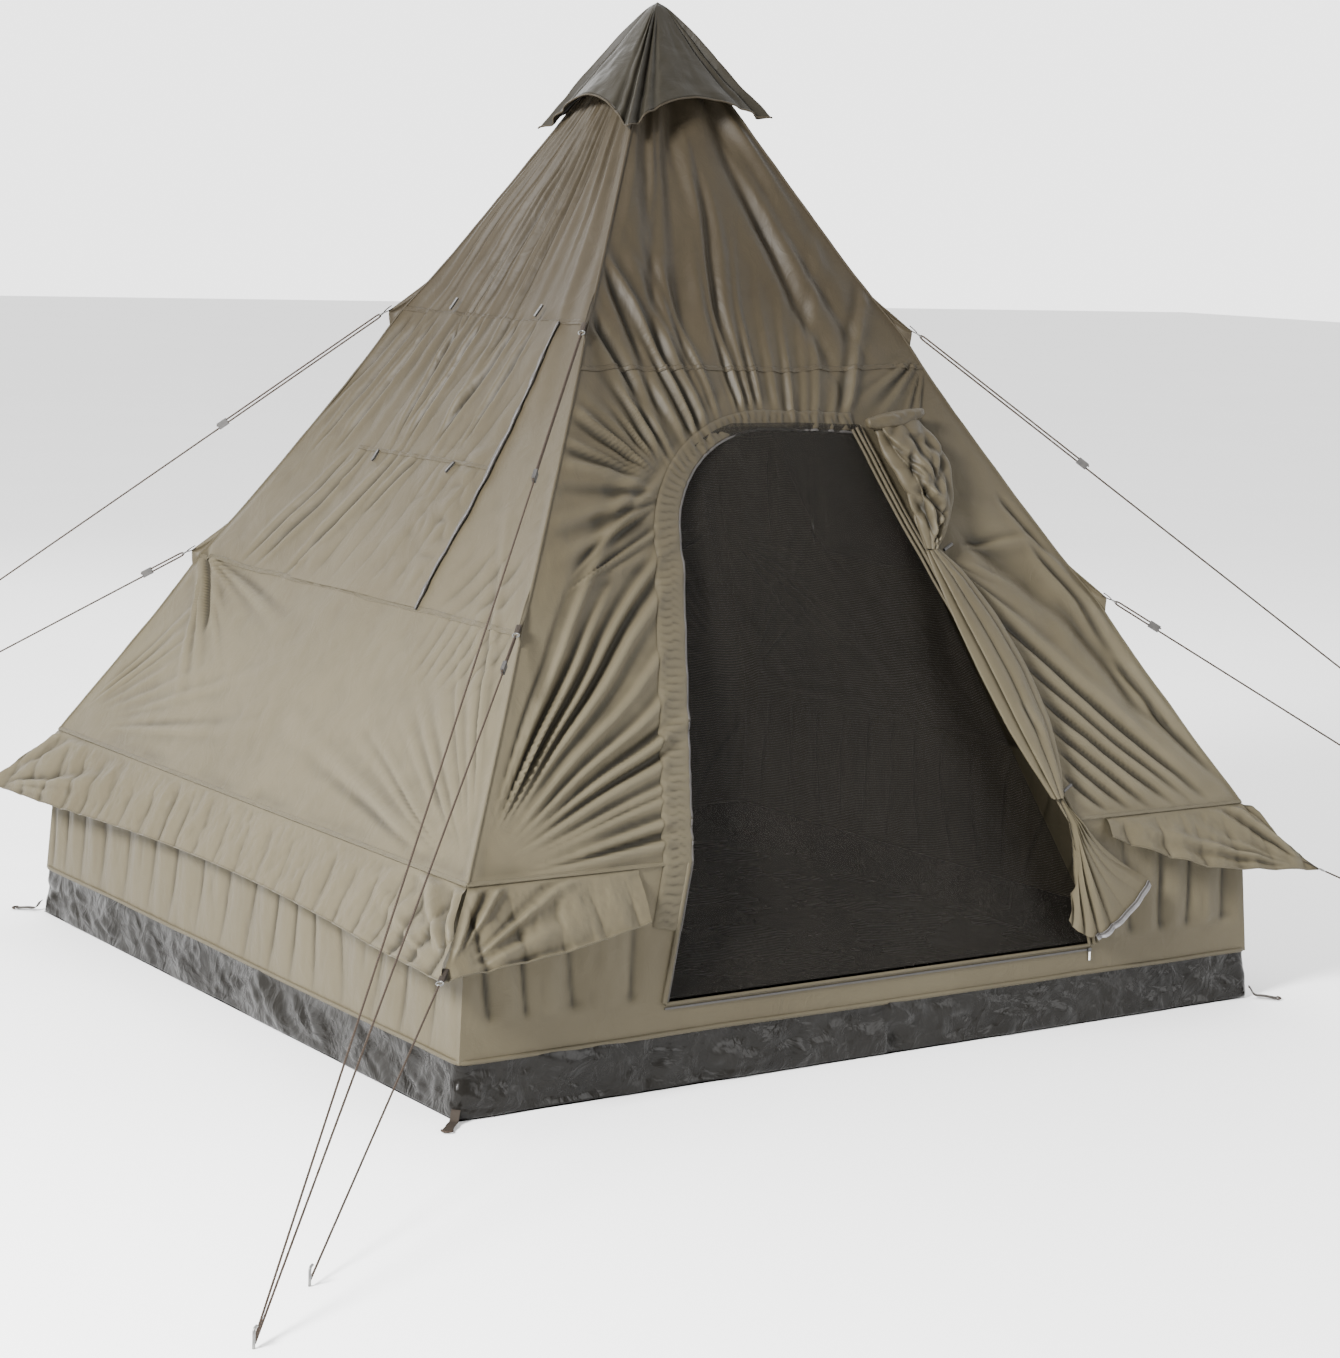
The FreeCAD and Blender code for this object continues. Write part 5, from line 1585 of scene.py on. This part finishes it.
def makeNetDoor():
    length = netPlane(0, 0, 0)[1]
    share = (doorway["shoulder"] - net["foot"]) / (net["head"] - net["foot"])
    v = np.linspace(0, length - 0.002, 180)
    shoulder = length * share
    arc = arcPoints((-doorway["shoulderX"] - 0.015, shoulder),
                    (archBend[0] - 0.022, length - 0.088), (0.02, length), 80)
    left = np.where(v < shoulder, -net["halfFoot"] + (net["halfFoot"] - 0.47) * v / shoulder,
                    np.interp(v, arc[:, 1], arc[:, 0]))
    bend = length - net["round"]
    right = net["halfFoot"] + (net["headRight"] - net["halfFoot"]) * v / bend
    right = np.where(v > bend, net["headRight"] - (v - bend) * 38, right)
    s = np.linspace(0, 1, 170)[None, :]
    x = left[:, None] + (right - left)[:, None] * s
    vv = np.broadcast_to(v[:, None], x.shape)
    ends = smooth(0, 0.06, s) * smooth(1, 0.94, s) * smooth(0, 0.05, vv)
    ends = ends * smooth(length, length - 0.05, vv)
    waves = 0.003 * (pleats(x, vv, 80, 0.16, 1.0, 903, 0.5, 0.6) - 0.5)
    waves = waves + 0.007 * roughNoise(x, vv, 0.4, 901)
    points = netPlane(x, vv, ends * (waves + 0.006))[0]
    piece = gridPiece("net_door_cloth", points, np.stack([x, vv], -1), netMaterial, flip=True)
    finishPiece(piece, "net_door", body="net_door", slotName="black_mesh")


makeNetDoor()
print("net ready")


# guy tabs, webbing loops and peg loops
def ridgeSkin(corner, height):
    sx, sy = guys["corners"][corner]
    face = "front" if sy < 0 else "back"
    up = upAt(face, np.asarray(height, float))
    return skinPoint(face, (sx if face == "front" else -sx) * roofHalf(face, up), up)


def strapLoop(name, corner, level, tip, back, reach, radius, steps):
    # a flat loop of webbing that comes out of the cloth, round the ring and back
    along, above = guyLine(corner, level)[2:]
    t = np.linspace(0, 1, steps)
    path = (tip - along * back)[None] + along * (reach * np.sin(np.pi * t))[:, None]
    path = path + above * (0.0045 * np.cos(np.pi * t))[:, None]
    tube(name, path, radius, 8, above, webbingMaterial, 0.2, slotName="dark_webbing")


def makeTab(corner, level):
    # a triangle from the ridge to the ring, its free edges cut slightly hollow
    out = cornerOut(corner)
    s = np.linspace(0, 1, 26)[:, None]
    t = np.linspace(0, 1, 26)[None, :]
    height = guys["tabHeight"][level] + 0.125 - 0.175 * s[:, 0]
    ridge = ridgeSkin(corner, height)[:, None] - out * 0.004
    tip = guyStart(corner, level) - out * 0.014
    pinch = (t * (1 - 0.10 * np.sin(np.pi * t)))[..., None]
    buckle = 0.004 * np.sin(3.1 * np.pi * s + 1.2) * np.sin(np.pi * t) ** 0.8
    points = (ridge * (1 - pinch) + (tip - up3 * 0.010 * (s[..., None] - 0.5)) * pinch
              + np.cross(out, up3) * buckle[..., None])
    tail = "_%s_%s" % (corner, level)
    finishPiece(gridPiece("guy_tab" + tail, points, pairs(s * 0.17, t * 0.08), canopyCloth,
                          thick=0.0024), "guy_tabs")
    strapLoop("tab_strap" + tail, corner, level, guyStart(corner, level), 0.030, 0.031, 0.0075, 40)


webbingWidth = 0.025


def makePegLoop(corner):
    sx, sy = guys["corners"][corner]
    out = np.array([sx, sy, 0]) / math.sqrt(2)
    base = np.array([sx * tent["halfX"], sy * tent["halfY"], 0.0])
    side = np.cross(out, up3)
    t = np.linspace(0, 1, 50)
    lift = 0.006 + 0.030 * np.exp(-(t / 0.16) ** 2) + 0.004 * np.sin(np.pi * t) ** 2
    centre = base + out * (0.004 + 0.090 * t)[:, None] + up3 * lift[:, None]
    w = np.array([-0.5, -0.46, -0.2, 0.2, 0.46, 0.5])
    wide = 1 + 0.15 * smooth(0.7, 1.0, t)
    points = centre[:, None] + side * webbingWidth * (w[None, :] * wide[:, None])[..., None]
    uv = pairs((t * 0.1)[:, None], (w * webbingWidth)[None])
    piece = gridPiece("peg_strap_" + corner, points, uv, webbingMaterial, thick=0.0022)
    finishPiece(piece, "peg_loops", slotName="dark_webbing")
    turn = np.linspace(-1.6, 1.6, 30)[:, None]
    eye = centre[-1] + out * 0.012 * np.cos(turn) + side * 0.015 * np.sin(turn)
    tube("peg_eye_" + corner, eye, 0.003, 8, (0, 0.1, 1), cordMaterial, slotName="dark_webbing")


for corner in guys["corners"]:
    for level in guys["tabHeight"]:
        makeTab(corner, level)
for corner in guys["corners"]:
    strapLoop("eave_strap_" + corner, corner, "eave", skirtTip(corner), 0.045, 0.052, 0.009, 36)
    makePegLoop(corner)
print("tabs and loops ready")


# finishes for the parts kept from the frame
finishes = {
    "pole_lower": "polePowderCoat", "pole_upper": "polePowderCoat", "pole_foot": "poleRubber",
    "pole_cup": "poleRubber", "guy_rings": "platedWire", "pegs": "platedWire",
    "sill_zips": "zipCoil", "door_slider": "sliderEnamel", "net_slider": "sliderEnamel",
    "door_pull": "pullMoulded", "net_pull": "pullMoulded", "toggles": "runnerPlastic",
}
for name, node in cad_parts.items():
    finish = "runnerPlastic" if name.startswith("runner_") else finishes.get(name)
    if finish is not None:
        node.data.materials.clear()
        node.data.materials.append(plastics[finish])


# floor and light
studio = {
    "ground": (0.90, 0.90, 0.90),
    "skyAhead": 3.2,
    "skyBehind": 0.75,
    "toward": (0.565, 0.825, 0.0),
    "aim": (0.0, 0.0, 1.3),
    "key": {"place": (-10.0, -3.4, 6.6), "power": 5600.0, "size": 2.6},
    "fill": {"place": (6.0, -9.0, 4.0), "power": 520.0, "size": 5.0},
    "back": {"place": (3.0, 8.0, 7.0), "power": 500.0, "size": 6.0},
}


def makeWorld():
    # an even sky, brighter on the far side and dimmer behind the viewer's usual place
    world = bpy.data.worlds.new("studio")
    world.use_nodes = True
    tree = world.node_tree
    place = tree.nodes.new("ShaderNodeTexCoord")
    dot = tree.nodes.new("ShaderNodeVectorMath")
    dot.operation = "DOT_PRODUCT"
    dot.inputs[1].default_value = studio["toward"]
    tree.links.new(place.outputs["Generated"], dot.inputs[0])
    spread = tree.nodes.new("ShaderNodeMapRange")
    spread.interpolation_type = "SMOOTHSTEP"
    spread.inputs["From Min"].default_value = -0.4
    spread.inputs["From Max"].default_value = 0.6
    spread.inputs["To Min"].default_value = studio["skyBehind"]
    spread.inputs["To Max"].default_value = studio["skyAhead"]
    tree.links.new(dot.outputs["Value"], spread.inputs["Value"])
    tree.links.new(spread.outputs[0], tree.nodes["Background"].inputs["Strength"])
    tree.nodes["Background"].inputs["Color"].default_value = (1.0, 1.0, 1.0, 1.0)
    bpy.context.scene.world = world


def makeStudio():
    x, y = np.meshgrid([-60.0, 60.0], [-60.0, 60.0], indexing="ij")
    floor = gridPiece("floor", np.stack([x, y, 0 * x], -1), np.stack([x, y], -1))
    material, tree, shader, place = newMaterial("studioFloor")
    speckle = noiseNode(tree, place.outputs["Object"], 0.6, 2.0)
    brighter = tuple(v * 1.04 for v in studio["ground"])
    tone = mixColour(tree, speckle, studio["ground"], brighter)
    tree.links.new(tone, shader.inputs["Base Color"])
    shader.inputs["Roughness"].default_value = 0.9
    floor.data.materials.append(material)
    makeWorld()
    for name in ("key", "fill", "back"):
        look = studio[name]
        data = bpy.data.lights.new(name, "AREA")
        data.energy = look["power"]
        data.size = look["size"]
        lamp = bpy.data.objects.new(name, data)
        lamp.location = look["place"]
        lamp.rotation_mode = "QUATERNION"
        aim = Vector(studio["aim"]) - Vector(look["place"])
        lamp.rotation_quaternion = aim.to_track_quat("-Z", "Y")
        bpy.context.scene.collection.objects.link(lamp)


makeStudio()
print("all ready")
